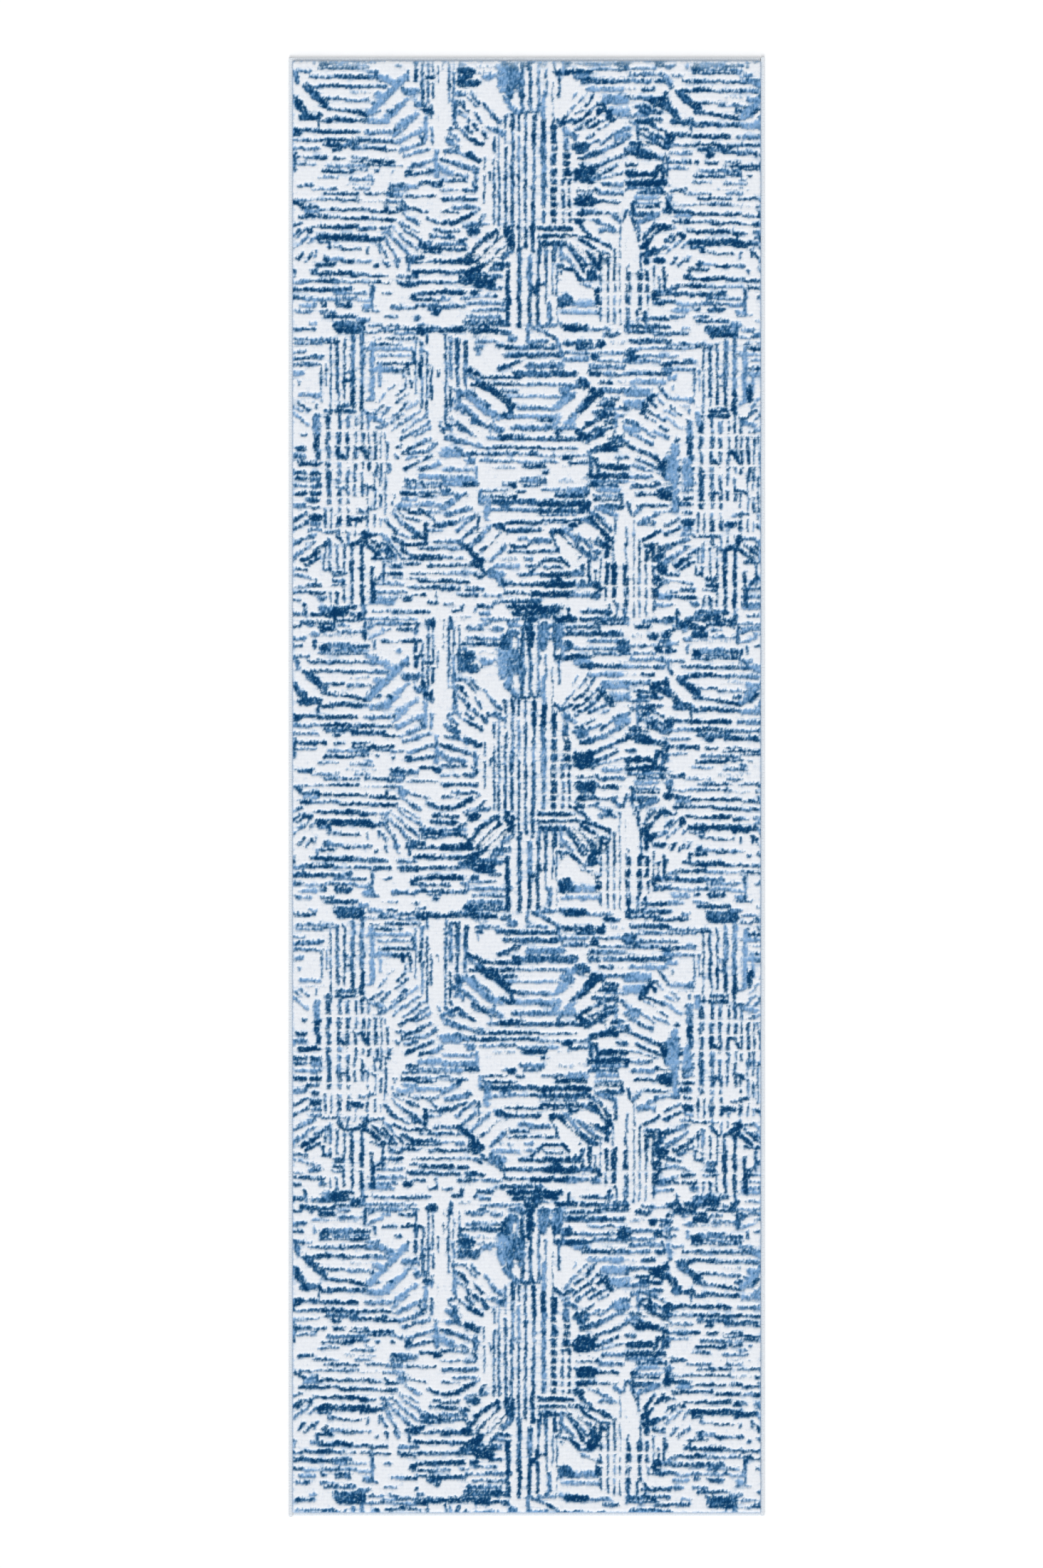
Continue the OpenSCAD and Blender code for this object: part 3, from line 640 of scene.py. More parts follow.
# Blue strokes along the rug: (x, y from, y to, width, shade)
along = [
    (-139, 275, 218, 3, DEEP), (-129, 262, 184, 4, DEEP), (-129, 178, 164, 3, MIXED),
    (-121, 262, 220, 2, MIXED), (-112, 266, 190, 3, DEEP), (-121, 212, 170, 4, MIXED),
    (-119, 165, 130, 8, MIXED), (-147, 222, 198, 3, DEEP), (-147, 145, 132, 3, MIXED),
    (-70, 73, 52, 3, DEEP), (-70, 40, -2, 3, DEEP), (-60, 47, 35, 3, NAVY),
    (-54, 105, 82, 5, DEEP), (-54, 70, -38, 3.5, DEEP), (-46, 112, 64, 3, MIXED),
    (-46, 64, -40, 4, DEEP), (-35, 142, 122, 5, DEEP), (-35, 116, 98, 3, MIXED),
    (-35, 88, -42, 4.5, DEEP), (-23, 142, 120, 7, NAVY), (-23, 114, 58, 5, MIXED),
    (-24, 54, 30, 7, DEEP), (-24, 24, -42, 5, DEEP), (-13, 142, 118, 4, NAVY),
    (-13, 108, 56, 4, SKY), (-13, 50, -80, 3.5, DEEP), (-2, 146, -44, 4, DEEP),
    (12, 140, 94, 7, NAVY), (12, 94, 72, 4, DEEP), (12, 72, 20, 5, MIXED),
    (11, 20, -40, 6, DEEP), (28, 180, 128, 8, SKY), (28, 130, 94, 9, NAVY),
    (28, 94, 22, 8, MIXED), (28, 22, -40, 7, MIXED), (45, 120, 94, 10, NAVY),
    (45, 92, 22, 10, DEEP), (45, 20, -36, 10, NAVY), (65, 118, 84, 10, MIXED),
    (66, 80, 40, 12, NAVY), (60, 42, -40, 5, DEEP), (71, 42, -36, 5, NAVY),
    (-7, 262, 152, 7, DEEP), (-24, 252, 182, 22, MIXED), (-40, 222, 186, 16, SKY),
    (-30, 188, 165, 9, MIXED), (-14, 206, 184, 22, MIXED), (6, 262, 222, 14, NAVY),
    (7, 222, 152, 7, DEEP), (20, 212, 152, 5, MIXED), (20, 242, 212, 4, MIXED),
    (32, 216, 180, 5, MIXED), (29, 262, 236, 20, MIXED), (50, 256, 238, 20, MIXED),
    (47, 240, 212, 4, DEEP), (42, 196, 126, 3, DEEP), (54, 212, 172, 4, DEEP),
    (60, 236, 212, 6, MIXED), (-36, 246, 232, 14, DEEP),
    (-47, -48, -66, 5, NAVY), (-33, -44, -62, 9, NAVY), (-24, -50, -78, 9, NAVY),
    (-13, -44, -78, 4, NAVY), (-2, -48, -80, 5, NAVY), (10, -44, -60, 7, NAVY),
    (10, -62, -82, 7, NAVY), (22, -62, -102, 5, DEEP), (32, -62, -102, 7, DEEP),
    (46, -74, -98, 8, DEEP), (57, -62, -100, 5, MIXED),
    (-31, -116, -202, 8, NAVY), (-12, -80, -160, 8, DEEP), (-11, -160, -206, 8, NAVY),
    (5, -96, -140, 9, MIXED), (5, -156, -200, 8, NAVY), (19, -80, -130, 4, DEEP),
    (18, -130, -200, 8, NAVY), (32, -100, -132, 5, DEEP), (32, -134, -168, 4, DEEP),
    (43, -98, -152, 3, DEEP), (50, -108, -156, 3, DEEP), (58, -118, -150, 3, DEEP),
    (38, -170, -196, 8, MIXED), (50, -170, -200, 3, MIXED),
    (123, -118, -132, 5, DEEP), (123, -136, -150, 4, DEEP), (122, -160, -196, 5, DEEP),
    (135, -94, -130, 5, NAVY), (135, -134, -200, 4, DEEP), (146, -80, -130, 6, NAVY),
    (146, -134, -202, 4, MIXED), (155, -44, -76, 3, MIXED), (155, -84, -204, 3, DEEP),
    (166, -58, -86, 4, MIXED), (166, -112, -130, 3, DEEP), (165, -140, -166, 6, NAVY),
    (166, -174, -196, 4, DEEP), (118, -148, -172, 8, NAVY),
    (-83, 528, 500, 5, SKY), (-77, 490, 470, 5, MIXED), (-80, 446, 416, 5, NAVY),
    (133, 412, 384, 8, NAVY), (133, 368, 335, 6, NAVY), (131, 331, 310, 4, DEEP),
    (143, 412, 368, 3, DEEP), (145, 366, 336, 9, NAVY), (145, 330, 308, 7, NAVY),
    (149, 302, 284, 4, DEEP), (164, 400, 378, 3, DEEP), (163, 366, 336, 6, NAVY),
    (163, 326, 304, 3, DEEP), (163, 300, 272, 5, DEEP), (122, 378, 334, 3, DEEP),
    (114, 358, 338, 5, DEEP), (92, 366, 340, 7, DEEP), (104, 372, 340, 6, NAVY),
    (157, 482, 462, 6, NAVY), (70, 294, 280, 5, NAVY), (136, 300, 282, 5, DEEP),
    (147, 446, 420, 5, DEEP), (-65, 474, 446, 12, SKY), (-126, 278, 264, 8, DEEP),
    (-134, 748, 600, 4, DEEP), (-126, 742, 680, 6, MIXED), (-126, 662, 618, 4, NAVY),
    (-115, 742, 700, 8, DEEP), (-115, 692, 664, 5, DEEP), (-115, 656, 624, 5, MIXED),
    (-101, 736, 700, 8, NAVY), (-102, 700, 666, 6, MIXED), (107, 556, 524, 8, DEEP),
    (2, 764, 744, 6, MIXED), (-81, 722, 716, 5, MIXED), (148, 616, 588, 5, MIXED),
    (-54, 610, 596, 5, MIXED), (52, 588, 574, 6, DEEP), (-60, 590, 572, 3, MIXED),
    # Outer column
    (-340, 700, 655, 3, DEEP), (-332, 700, 666, 3, MIXED), (-325, 735, 700, 3, DEEP),
    (-325, 698, 618, 3, DEEP), (-314, 738, 702, 5, DEEP), (-314, 698, 655, 5, DEEP),
    (-312, 655, 640, 3, DEEP), (-302, 740, 704, 4, DEEP), (-302, 698, 642, 4, NAVY),
    (-288, 745, 690, 7, MIXED), (-289, 688, 668, 8, DEEP), (-288, 662, 640, 7, NAVY),
    (-273, 752, 665, 7, MIXED), (-273, 662, 640, 8, NAVY), (-256, 735, 645, 8, SKY),
    (-243, 700, 664, 5, SKY), (-205, 692, 680, 5, NAVY), (-377, 670, 666, 3, MIXED),
    (-274, 636, 628, 7, NAVY), (-273, 622, 616, 4, DEEP), (-329, 612, 592, 8, NAVY),
    (-328, 588, 578, 8, DEEP), (-330, 574, 562, 6, DEEP), (-328, 560, 545, 6, DEEP),
    (-329, 538, 530, 8, DEEP), (-329, 524, 515, 8, DEEP), (-348, 612, 586, 11, MIXED),
    (-348, 578, 562, 10, NAVY), (-346, 556, 542, 8, DEEP), (-310, 620, 594, 6, DEEP),
    (-311, 586, 569, 7, DEEP), (-312, 562, 542, 7, NAVY), (-311, 537, 516, 7, MIXED),
    (-297, 612, 594, 6, MIXED), (-297, 585, 569, 6, DEEP), (-297, 562, 542, 6, DEEP),
    (-297, 525, 515, 6, MIXED), (-283, 612, 598, 4, DEEP), (-283, 590, 570, 4, DEEP),
    (-284, 562, 543, 6, DEEP), (-284, 536, 518, 5, DEEP), (-273, 612, 594, 5, DEEP),
    (-271, 588, 565, 5, DEEP), (-271, 536, 528, 4, DEEP), (-262, 612, 592, 5, MIXED),
    (-262, 588, 566, 3, DEEP), (-262, 562, 542, 5, NAVY), (-262, 536, 526, 5, NAVY),
    (-251, 586, 565, 5, DEEP), (-250, 562, 542, 5, NAVY), (-248, 536, 516, 5, DEEP),
    (-241, 586, 560, 3, DEEP), (-241, 558, 542, 3, DEEP), (-241, 536, 516, 4, DEEP),
    (-235, 585, 578, 3, MIXED), (-231, 570, 542, 4, DEEP), (-228, 536, 520, 7, MIXED),
    (-188, 720, 702, 6, DEEP), (-184, 735, 690, 3, MIXED), (-184, 690, 652, 3, DEEP),
    (-201, 675, 660, 3, DEEP), (-174, 735, 720, 6, MIXED), (-174, 715, 704, 6, DEEP),
    (-176, 697, 680, 6, NAVY), (-173, 678, 628, 4, MIXED), (-165, 755, 735, 4, DEEP),
    (-165, 720, 704, 4, DEEP), (-165, 698, 680, 4, NAVY), (-165, 678, 612, 3, DEEP),
    (-158, 692, 662, 3, DEEP), (-158, 660, 642, 5, NAVY), (-147, 688, 681, 4, DEEP),
    (-144, 604, 598, 4, MIXED), (-348, 632, 626, 4, MIXED),
    (-328, 520, 498, 8, DEEP), (-328, 493, 481, 8, DEEP), (-328, 476, 469, 8, DEEP),
    (-334, 462, 430, 4, DEEP), (-324, 462, 430, 3, DEEP), (-311, 520, 502, 7, MIXED),
    (-310, 490, 481, 7, DEEP), (-310, 476, 468, 7, MIXED), (-311, 462, 454, 6, MIXED),
    (-311, 449, 434, 8, NAVY), (-311, 430, 415, 6, MIXED), (-297, 512, 500, 5, DEEP),
    (-296, 490, 481, 6, DEEP), (-296, 476, 468, 5, DEEP), (-295, 460, 454, 4, MIXED),
    (-295, 449, 434, 7, NAVY), (-296, 420, 402, 4, MIXED), (-285, 520, 508, 4, DEEP),
    (-285, 498, 481, 4, DEEP), (-284, 436, 428, 4, MIXED), (-285, 420, 415, 3, DEEP),
    (-273, 518, 500, 4, DEEP), (-272, 497, 481, 5, DEEP), (-264, 500, 470, 3, DEEP),
    (-263, 462, 454, 6, DEEP), (-264, 449, 436, 6, NAVY), (-264, 432, 422, 4, MIXED),
    (-252, 520, 500, 3, DEEP), (-251, 492, 466, 3, MIXED), (-252, 450, 430, 3, DEEP),
    (-242, 520, 500, 3, DEEP), (-242, 486, 464, 4, DEEP), (-242, 442, 432, 3, SKY),
    (-234, 520, 464, 3, DEEP), (-235, 460, 452, 3, MIXED), (-219, 484, 480, 4, DEEP),
    (-223, 472, 468, 4, DEEP), (-268, 420, 402, 9, NAVY), (-334, 405, 380, 3, DEEP),
    (-326, 408, 380, 5, MIXED), (-314, 400, 362, 4, DEEP), (-302, 402, 355, 3, NAVY),
    (-290, 400, 376, 6, DEEP), (-290, 372, 342, 7, NAVY), (-273, 400, 364, 6, NAVY),
    (-273, 360, 342, 7, NAVY), (-257, 362, 342, 6, NAVY), (-255, 334, 308, 10, NAVY),
    (-303, 338, 308, 4, NAVY), (-289, 335, 306, 5, NAVY), (-273, 333, 306, 7, NAVY),
    (-325, 320, 305, 3, DEEP), (-314, 320, 303, 5, DEEP), (-338, 372, 360, 4, DEEP),
    (-326, 370, 357, 4, DEEP), (-168, 434, 412, 8, NAVY), (-150, 320, 305, 3, DEEP),
    (-238, 372, 342, 5, DEEP), (-278, 285, 276, 7, NAVY), (-272, 300, 285, 5, MIXED),
    (-268, 270, 246, 6, DEEP), (-352, 240, 230, 5, MIXED), (-252, 240, 230, 5, MIXED),
    (-345, 145, 125, 4, NAVY), (-385, 80, 50, 5, DEEP), (-219, 117, 108, 5, NAVY),
    (-197, 215, 200, 4, DEEP), (-184, 215, 200, 7, NAVY), (-184, 243, 226, 7, DEEP),
    (-183, 268, 252, 5, DEEP), (-172, 238, 225, 5, DEEP), (-173, 218, 196, 5, DEEP),
    (-163, 275, 252, 4, DEEP), (-163, 246, 208, 4, DEEP), (-155, 265, 205, 3, DEEP),
    (-163, 198, 165, 4, DEEP), (-155, 194, 172, 4, DEEP), (-172, 195, 164, 6, DEEP),
    (-157, 158, 140, 4, DEEP), (-202, 166, 152, 5, DEEP), (-168, 138, 104, 7, SKY),
    (-157, 120, 96, 5, MIXED), (-150, 82, 62, 7, SKY), (-149, 58, 42, 9, SKY),
    (-264, -78, -86, 4, DEEP), (-244, -74, -84, 5, DEEP), (-348, -106, -120, 5, DEEP),
    (-256, -140, -158, 7, DEEP), (-256, -160, -180, 5, MIXED), (-385, -115, -125, 4, DEEP),
    (-195, -100, -114, 5, DEEP),
    # Right column only
    (241, 542, 510, 20, SKY), (245, 562, 545, 12, SKY), (267, 534, 508, 15, SKY),
    (246, 500, 462, 9, SKY),
    (284, 618, 604, 9, SKY), (370, 660, 640, 9, NAVY), (210, 330, 312, 9, NAVY),
]

# Slanting blue strokes: (x from, y from, x to, y to, width, shade)
slant = [
    (-112, 165, -98, 148, 5, DEEP), (-98, 172, -84, 156, 3, MIXED), (-92, 178, -80, 162, 4, MIXED),
    (-130, 118, -116, 124, 4, MIXED), (-116, 122, -95, 105, 4, MIXED),
    (-95, 105, -74, 94, 7, NAVY), (-101, 122, -90, 113, 5, DEEP), (-85, 144, -75, 130, 5, DEEP),
    (-128, 112, -114, 101, 5, MIXED), (-88, 126, -82, 119, 6, DEEP), (-73, 116, -67, 106, 7, DEEP),
    (-133, 101, -114, 89, 9, MIXED), (-112, 80, -97, 72, 5, MIXED), (-98, 78, -80, 68, 9, NAVY),
    (-142, 69, -118, 62, 6, DEEP), (-118, 62, -82, 50, 6, MIXED), (-142, 54, -126, 45, 10, SKY),
    (-126, 45, -100, 41, 5, MIXED), (-86, 56, -84, 36, 7, MIXED), (-90, 32, -84, 22, 5, DEEP),
    (-98, 136, -96, 128, 5, DEEP), (-116, 150, -102, 140, 4, MIXED),
    (-70, 160, -58, 142, 4, MIXED), (-58, 142, -42, 128, 6, MIXED), (-64, 121, -50, 115, 5, MIXED),
    (-50, 118, -40, 112, 9, MIXED), (-36, 170, -16, 148, 9, MIXED),
    (75, 168, 83, 182, 2, SKY), (86, 164, 100, 178, 3, MIXED), (98, 158, 113, 179, 4, DEEP),
    (60, 134, 79, 158, 3, MIXED), (78, 128, 106, 148, 5, NAVY), (106, 148, 116, 160, 3, MIXED),
    (82, 118, 112, 138, 5, DEEP), (118, 145, 129, 156, 7, NAVY), (103, 122, 136, 138, 5, DEEP),
    (120, 120, 140, 129, 3, MIXED), (100, 104, 111, 111, 4, DEEP), (98, 92, 120, 102, 4, MIXED),
    (122, 94, 146, 112, 4, MIXED), (146, 112, 168, 120, 8, MIXED), (150, 106, 168, 108, 10, SKY),
    (90, 71, 125, 82, 8, DEEP), (125, 82, 160, 100, 6, MIXED), (104, 50, 120, 60, 6, NAVY),
    (120, 60, 168, 80, 6, DEEP), (108, 38, 150, 58, 5, DEEP), (112, 34, 160, 47, 3, MIXED),
    (134, 148, 142, 134, 10, NAVY), (46, 136, 56, 128, 7, DEEP), (62, 118, 80, 106, 8, MIXED),
    (60, 128, 74, 134, 6, DEEP), (118, 162, 126, 160, 6, DEEP), (80, 145, 92, 152, 4, DEEP),
    (-140, -37, -118, -35, 6, NAVY), (-118, -35, -90, -21, 7, NAVY), (-84, -18, -78, -14, 4, MIXED),
    (-96, -40, -64, -37, 5, MIXED), (-78, -36, -70, -24, 4, DEEP),
    (-110, -66, -94, -59, 7, DEEP), (-94, -102, -80, -72, 9, NAVY), (-80, -72, -50, -50, 8, NAVY),
    (-82, -102, -60, -80, 8, NAVY), (-60, -80, -44, -62, 8, NAVY), (-80, -110, -62, -102, 7, NAVY),
    (-62, -102, -46, -88, 7, DEEP), (-46, -88, -24, -66, 8, NAVY), (-60, -116, -50, -100, 4, DEEP),
    (-40, -92, -26, -84, 8, MIXED), (-104, -42, -92, -48, 4, DEEP), (-96, -116, -78, -112, 8, NAVY),
    (88, -42, 106, -56, 5, DEEP), (80, -57, 112, -62, 4, NAVY), (112, -62, 138, -75, 6, NAVY),
    (90, -64, 112, -78, 6, NAVY), (84, -72, 112, -104, 5, DEEP), (104, -96, 114, -112, 5, DEEP),
    (62, -66, 80, -90, 5, DEEP), (80, -90, 94, -114, 6, NAVY),
    (72, -70, 100, -106, 5, DEEP), (50, -108, 74, -113, 5, DEEP), (74, -113, 88, -127, 7, NAVY),
    (86, -128, 110, -131, 6, DEEP), (98, -84, 116, -92, 5, DEEP), (118, -84, 136, -86, 5, DEEP),
    (116, -34, 144, -46, 5, MIXED), (92, -138, 104, -141, 4, MIXED), (108, -148, 118, -156, 7, NAVY),
    (94, -14, 110, -18, 6, DEEP), (144, -24, 156, -34, 6, MIXED), (58, -88, 76, -106, 5, MIXED),
    (-140, 462, -112, 478, 8, MIXED), (-134, 450, -94, 460, 7, MIXED), (-142, 433, -120, 437, 8, DEEP),
    (-120, 437, -98, 446, 5, MIXED), (-116, 424, -86, 447, 5, MIXED), (-106, 410, -84, 430, 5, MIXED),
    (-92, 398, -62, 428, 6, MIXED), (-76, 390, -50, 405, 6, DEEP), (-60, 374, -46, 386, 5, MIXED),
    (-46, 386, -32, 401, 6, MIXED), (-112, 404, -98, 397, 9, DEEP), (-100, 398, -84, 380, 9, NAVY),
    (-78, 366, -68, 352, 5, DEEP), (-86, 352, -76, 347, 6, DEEP), (-58, 356, -44, 344, 12, MIXED),
    (-122, 290, -108, 292, 4, DEEP), (-108, 292, -106, 302, 4, DEEP), (-86, 288, -81, 299, 4, DEEP),
    (-42, 432, -34, 420, 7, NAVY), (-40, 342, -36, 322, 3, DEEP), (-50, 412, -36, 420, 5, MIXED),
    (45, 410, 52, 388, 4, DEEP), (57, 416, 80, 391, 6, NAVY), (80, 391, 86, 380, 6, DEEP),
    (66, 424, 84, 404, 7, MIXED), (84, 416, 108, 396, 8, MIXED), (84, 396, 114, 377, 9, DEEP),
    (94, 442, 120, 430, 7, MIXED), (106, 444, 120, 434, 9, NAVY), (120, 446, 138, 424, 6, DEEP),
    (126, 424, 140, 410, 9, NAVY), (118, 404, 134, 396, 11, NAVY), (96, 462, 118, 448, 7, DEEP),
    (116, 462, 148, 450, 8, MIXED), (8, 357, 26, 373, 4, NAVY), (27, 368, 34, 362, 4, DEEP),
    (60, 376, 70, 365, 5, NAVY), (100, 410, 116, 402, 5, MIXED), (52, 342, 66, 322, 10, NAVY),
    (-44, 692, -14, 704, 7, DEEP), (10, 760, 34, 751, 5, MIXED), (34, 751, 50, 741, 6, DEEP),
    (50, 741, 57, 712, 6, MIXED), (-80, 670, -54, 655, 12, NAVY), (-54, 655, -24, 630, 12, NAVY),
    (-28, 628, -24, 614, 7, DEEP), (-96, 645, -66, 621, 11, SKY), (-66, 621, -42, 612, 12, SKY),
    (-80, 640, -62, 632, 8, MIXED), (-108, 632, -84, 612, 9, MIXED), (-90, 606, -66, 598, 9, DEEP),
    (-114, 602, -84, 584, 9, DEEP), (-132, 576, -100, 570, 8, MIXED), (-100, 572, -76, 564, 9, MIXED),
    (-110, 640, -124, 610, 6, MIXED), (-96, 690, -80, 684, 8, NAVY), (-96, 684, -78, 672, 6, MIXED),
    (-42, 618, -26, 610, 9, DEEP), (-66, 602, -44, 590, 9, MIXED),
    (42, 622, 64, 640, 10, SKY), (58, 655, 80, 664, 8, MIXED), (72, 616, 98, 634, 12, MIXED),
    (90, 622, 112, 642, 12, NAVY), (100, 641, 122, 650, 13, NAVY), (84, 586, 104, 601, 8, NAVY),
    (104, 601, 122, 609, 5, DEEP), (100, 570, 132, 592, 8, DEEP), (104, 553, 152, 573, 8, DEEP),
    (152, 573, 168, 570, 7, MIXED), (100, 656, 112, 656, 8, NAVY), (104, 690, 110, 700, 4, DEEP),
    (120, 612, 148, 618, 7, DEEP), (80, 620, 92, 630, 6, MIXED), (46, 600, 58, 612, 8, SKY),
    # Outer column
    (-197, 695, -191, 662, 3, NAVY), (-312, 552, -298, 540, 7, NAVY),
    (-272, 559, -266, 544, 6, NAVY), (-228, 659, -222, 663, 3, MIXED),
    (-246, 636, -234, 650, 3, SKY), (-264, 640, -255, 644, 4, SKY), (-215, 648, -203, 660, 4, DEEP),
    (-216, 636, -196, 652, 4, DEEP), (-208, 624, -198, 634, 4, DEEP), (-252, 620, -240, 630, 4, MIXED),
    (-240, 615, -227, 628, 4, MIXED), (-222, 612, -212, 622, 3, MIXED), (-226, 602, -205, 618, 4, MIXED),
    (-200, 624, -180, 637, 4, SKY), (-222, 590, -214, 598, 3, MIXED), (-210, 600, -178, 622, 4, MIXED),
    (-205, 588, -165, 616, 4, MIXED), (-209, 576, -190, 584, 6, DEEP), (-190, 584, -162, 604, 4, MIXED),
    (-184, 580, -160, 594, 4, MIXED), (-204, 556, -180, 566, 5, DEEP), (-180, 566, -158, 577, 5, MIXED),
    (-207, 550, -190, 552, 4, NAVY), (-190, 552, -165, 556, 5, MIXED), (-165, 556, -150, 567, 5, MIXED),
    (-200, 542, -182, 547, 4, MIXED), (-172, 541, -157, 547, 5, DEEP), (-202, 526, -182, 536, 5, NAVY),
    (-182, 536, -164, 543, 4, DEEP), (-176, 525, -155, 530, 6, DEEP), (-155, 530, -143, 536, 7, SKY),
    (-214, 562, -208, 563, 5, DEEP), (-218, 549, -214, 543, 5, DEEP), (-256, 610, -240, 606, 7, SKY),
    (-250, 590, -232, 600, 6, MIXED), (-378, 636, -362, 622, 3, MIXED), (-388, 620, -362, 600, 4, SKY),
    (-388, 630, -372, 622, 3, SKY), (-312, 413, -306, 405, 6, DEEP), (-266, 499, -252, 492, 4, DEEP),
    (-286, 401, -262, 415, 7, NAVY), (-262, 398, -245, 386, 8, NAVY), (-256, 408, -240, 392, 4, DEEP),
    (-248, 404, -226, 382, 5, DEEP), (-238, 404, -216, 378, 5, DEEP), (-240, 418, -222, 398, 5, MIXED),
    (-222, 398, -206, 378, 4, DEEP), (-222, 410, -205, 402, 6, DEEP), (-235, 440, -215, 420, 6, DEEP),
    (-215, 420, -196, 412, 4, MIXED), (-207, 392, -188, 381, 7, DEEP), (-222, 452, -208, 437, 4, MIXED),
    (-208, 437, -184, 422, 5, MIXED), (-200, 446, -180, 440, 5, DEEP), (-200, 430, -176, 416, 6, DEEP),
    (-220, 458, -206, 450, 3, MIXED), (-196, 456, -178, 452, 4, DEEP), (-175, 458, -158, 447, 5, DEEP),
    (-158, 447, -152, 437, 4, DEEP), (-250, 340, -238, 352, 5, DEEP), (-228, 372, -212, 363, 4, DEEP),
    (-276, 275, -268, 290, 6, DEEP), (-388, 440, -365, 452, 5, DEEP), (-388, 425, -362, 438, 5, DEEP),
    (-388, 401, -365, 412, 6, DEEP), (-365, 412, -350, 417, 6, MIXED), (-378, 384, -352, 405, 5, MIXED),
    (-388, 378, -376, 387, 7, MIXED), (-372, 374, -345, 389, 7, NAVY),
    (-366, 367, -342, 380, 5, DEEP), (-350, 392, -330, 402, 4, DEEP),
    (-388, 361, -365, 358, 5, DEEP), (-362, 424, -342, 425, 4, MIXED), (-388, 352, -345, 342, 3, MIXED),
    (-369, 300, -366, 282, 5, DEEP), (-262, 262, -245, 271, 4, MIXED), (-262, 246, -238, 254, 4, SKY),
    (-385, 215, -379, 196, 7, MIXED), (-365, 187, -335, 162, 12, DEEP), (-385, 168, -366, 144, 12, DEEP),
    (-340, 156, -300, 150, 5, DEEP), (-300, 151, -265, 144, 6, NAVY), (-240, 204, -215, 193, 9, SKY),
    (-202, 206, -260, 148, 11, SKY), (-196, 166, -234, 136, 12, SKY), (-232, 149, -222, 148, 5, DEEP),
    (-182, 144, -214, 122, 8, SKY), (-222, 106, -196, 128, 4, SKY), (-214, 98, -172, 118, 7, SKY),
    (-210, 83, -170, 98, 6, MIXED), (-205, 74, -162, 86, 5, MIXED), (-196, 56, -150, 69, 5, MIXED),
    (-200, 42, -155, 50, 5, DEEP), (-176, 108, -172, 98, 5, DEEP), (-384, -2, -370, -10, 6, NAVY),
    (-236, -2, -232, -14, 5, NAVY), (-388, -41, -372, -36, 4, DEEP), (-205, -20, -190, -32, 3, MIXED),
    (-192, -30, -178, -38, 6, MIXED), (-195, -12, -165, -19, 3, DEEP), (-165, -28, -148, -35, 6, DEEP),
    (-218, -30, -200, -50, 3, MIXED), (-200, -50, -175, -65, 4, MIXED), (-205, -38, -180, -52, 3, MIXED),
    (-225, -42, -205, -62, 3, MIXED), (-205, -62, -180, -82, 4, MIXED), (-232, -50, -195, -90, 4, MIXED),
    (-218, -62, -190, -92, 3, MIXED), (-235, -62, -213, -100, 4, MIXED), (-240, -78, -232, -92, 4, DEEP),
    (-234, -102, -230, -108, 5, DEEP), (-218, -100, -213, -110, 4, MIXED),
    (-388, -58, -375, -48, 4, DEEP),
    (-380, -60, -366, -46, 4, DEEP), (-385, -78, -372, -64, 3, MIXED), (-374, -70, -362, -58, 3, MIXED),
    (-360, -70, -350, -60, 3, MIXED), (-378, -96, -370, -86, 5, DEEP), (-366, -100, -356, -88, 4, DEEP),
    (-352, -92, -348, -84, 4, MIXED),
    # The sides of the upward spike
    (165, -16, 157, -46, 4, DEEP), (170, -16, 180, -46, 4, DEEP),
    # More of the rim of the level medallion
    (-118, 656, -92, 650, 7, MIXED), (-122, 640, -106, 618, 5, MIXED), (-128, 598, -112, 600, 6, DEEP),
    (-110, 593, -88, 583, 6, DEEP), (-134, 586, -118, 578, 5, MIXED), (-118, 560, -96, 548, 5, MIXED),
    (100, 664, 122, 640, 5, NAVY), (112, 632, 142, 636, 6, DEEP), (104, 588, 130, 600, 5, DEEP),
    (118, 590, 148, 597, 5, DEEP), (120, 560, 166, 566, 6, NAVY), (112, 545, 120, 525, 8, NAVY),
]

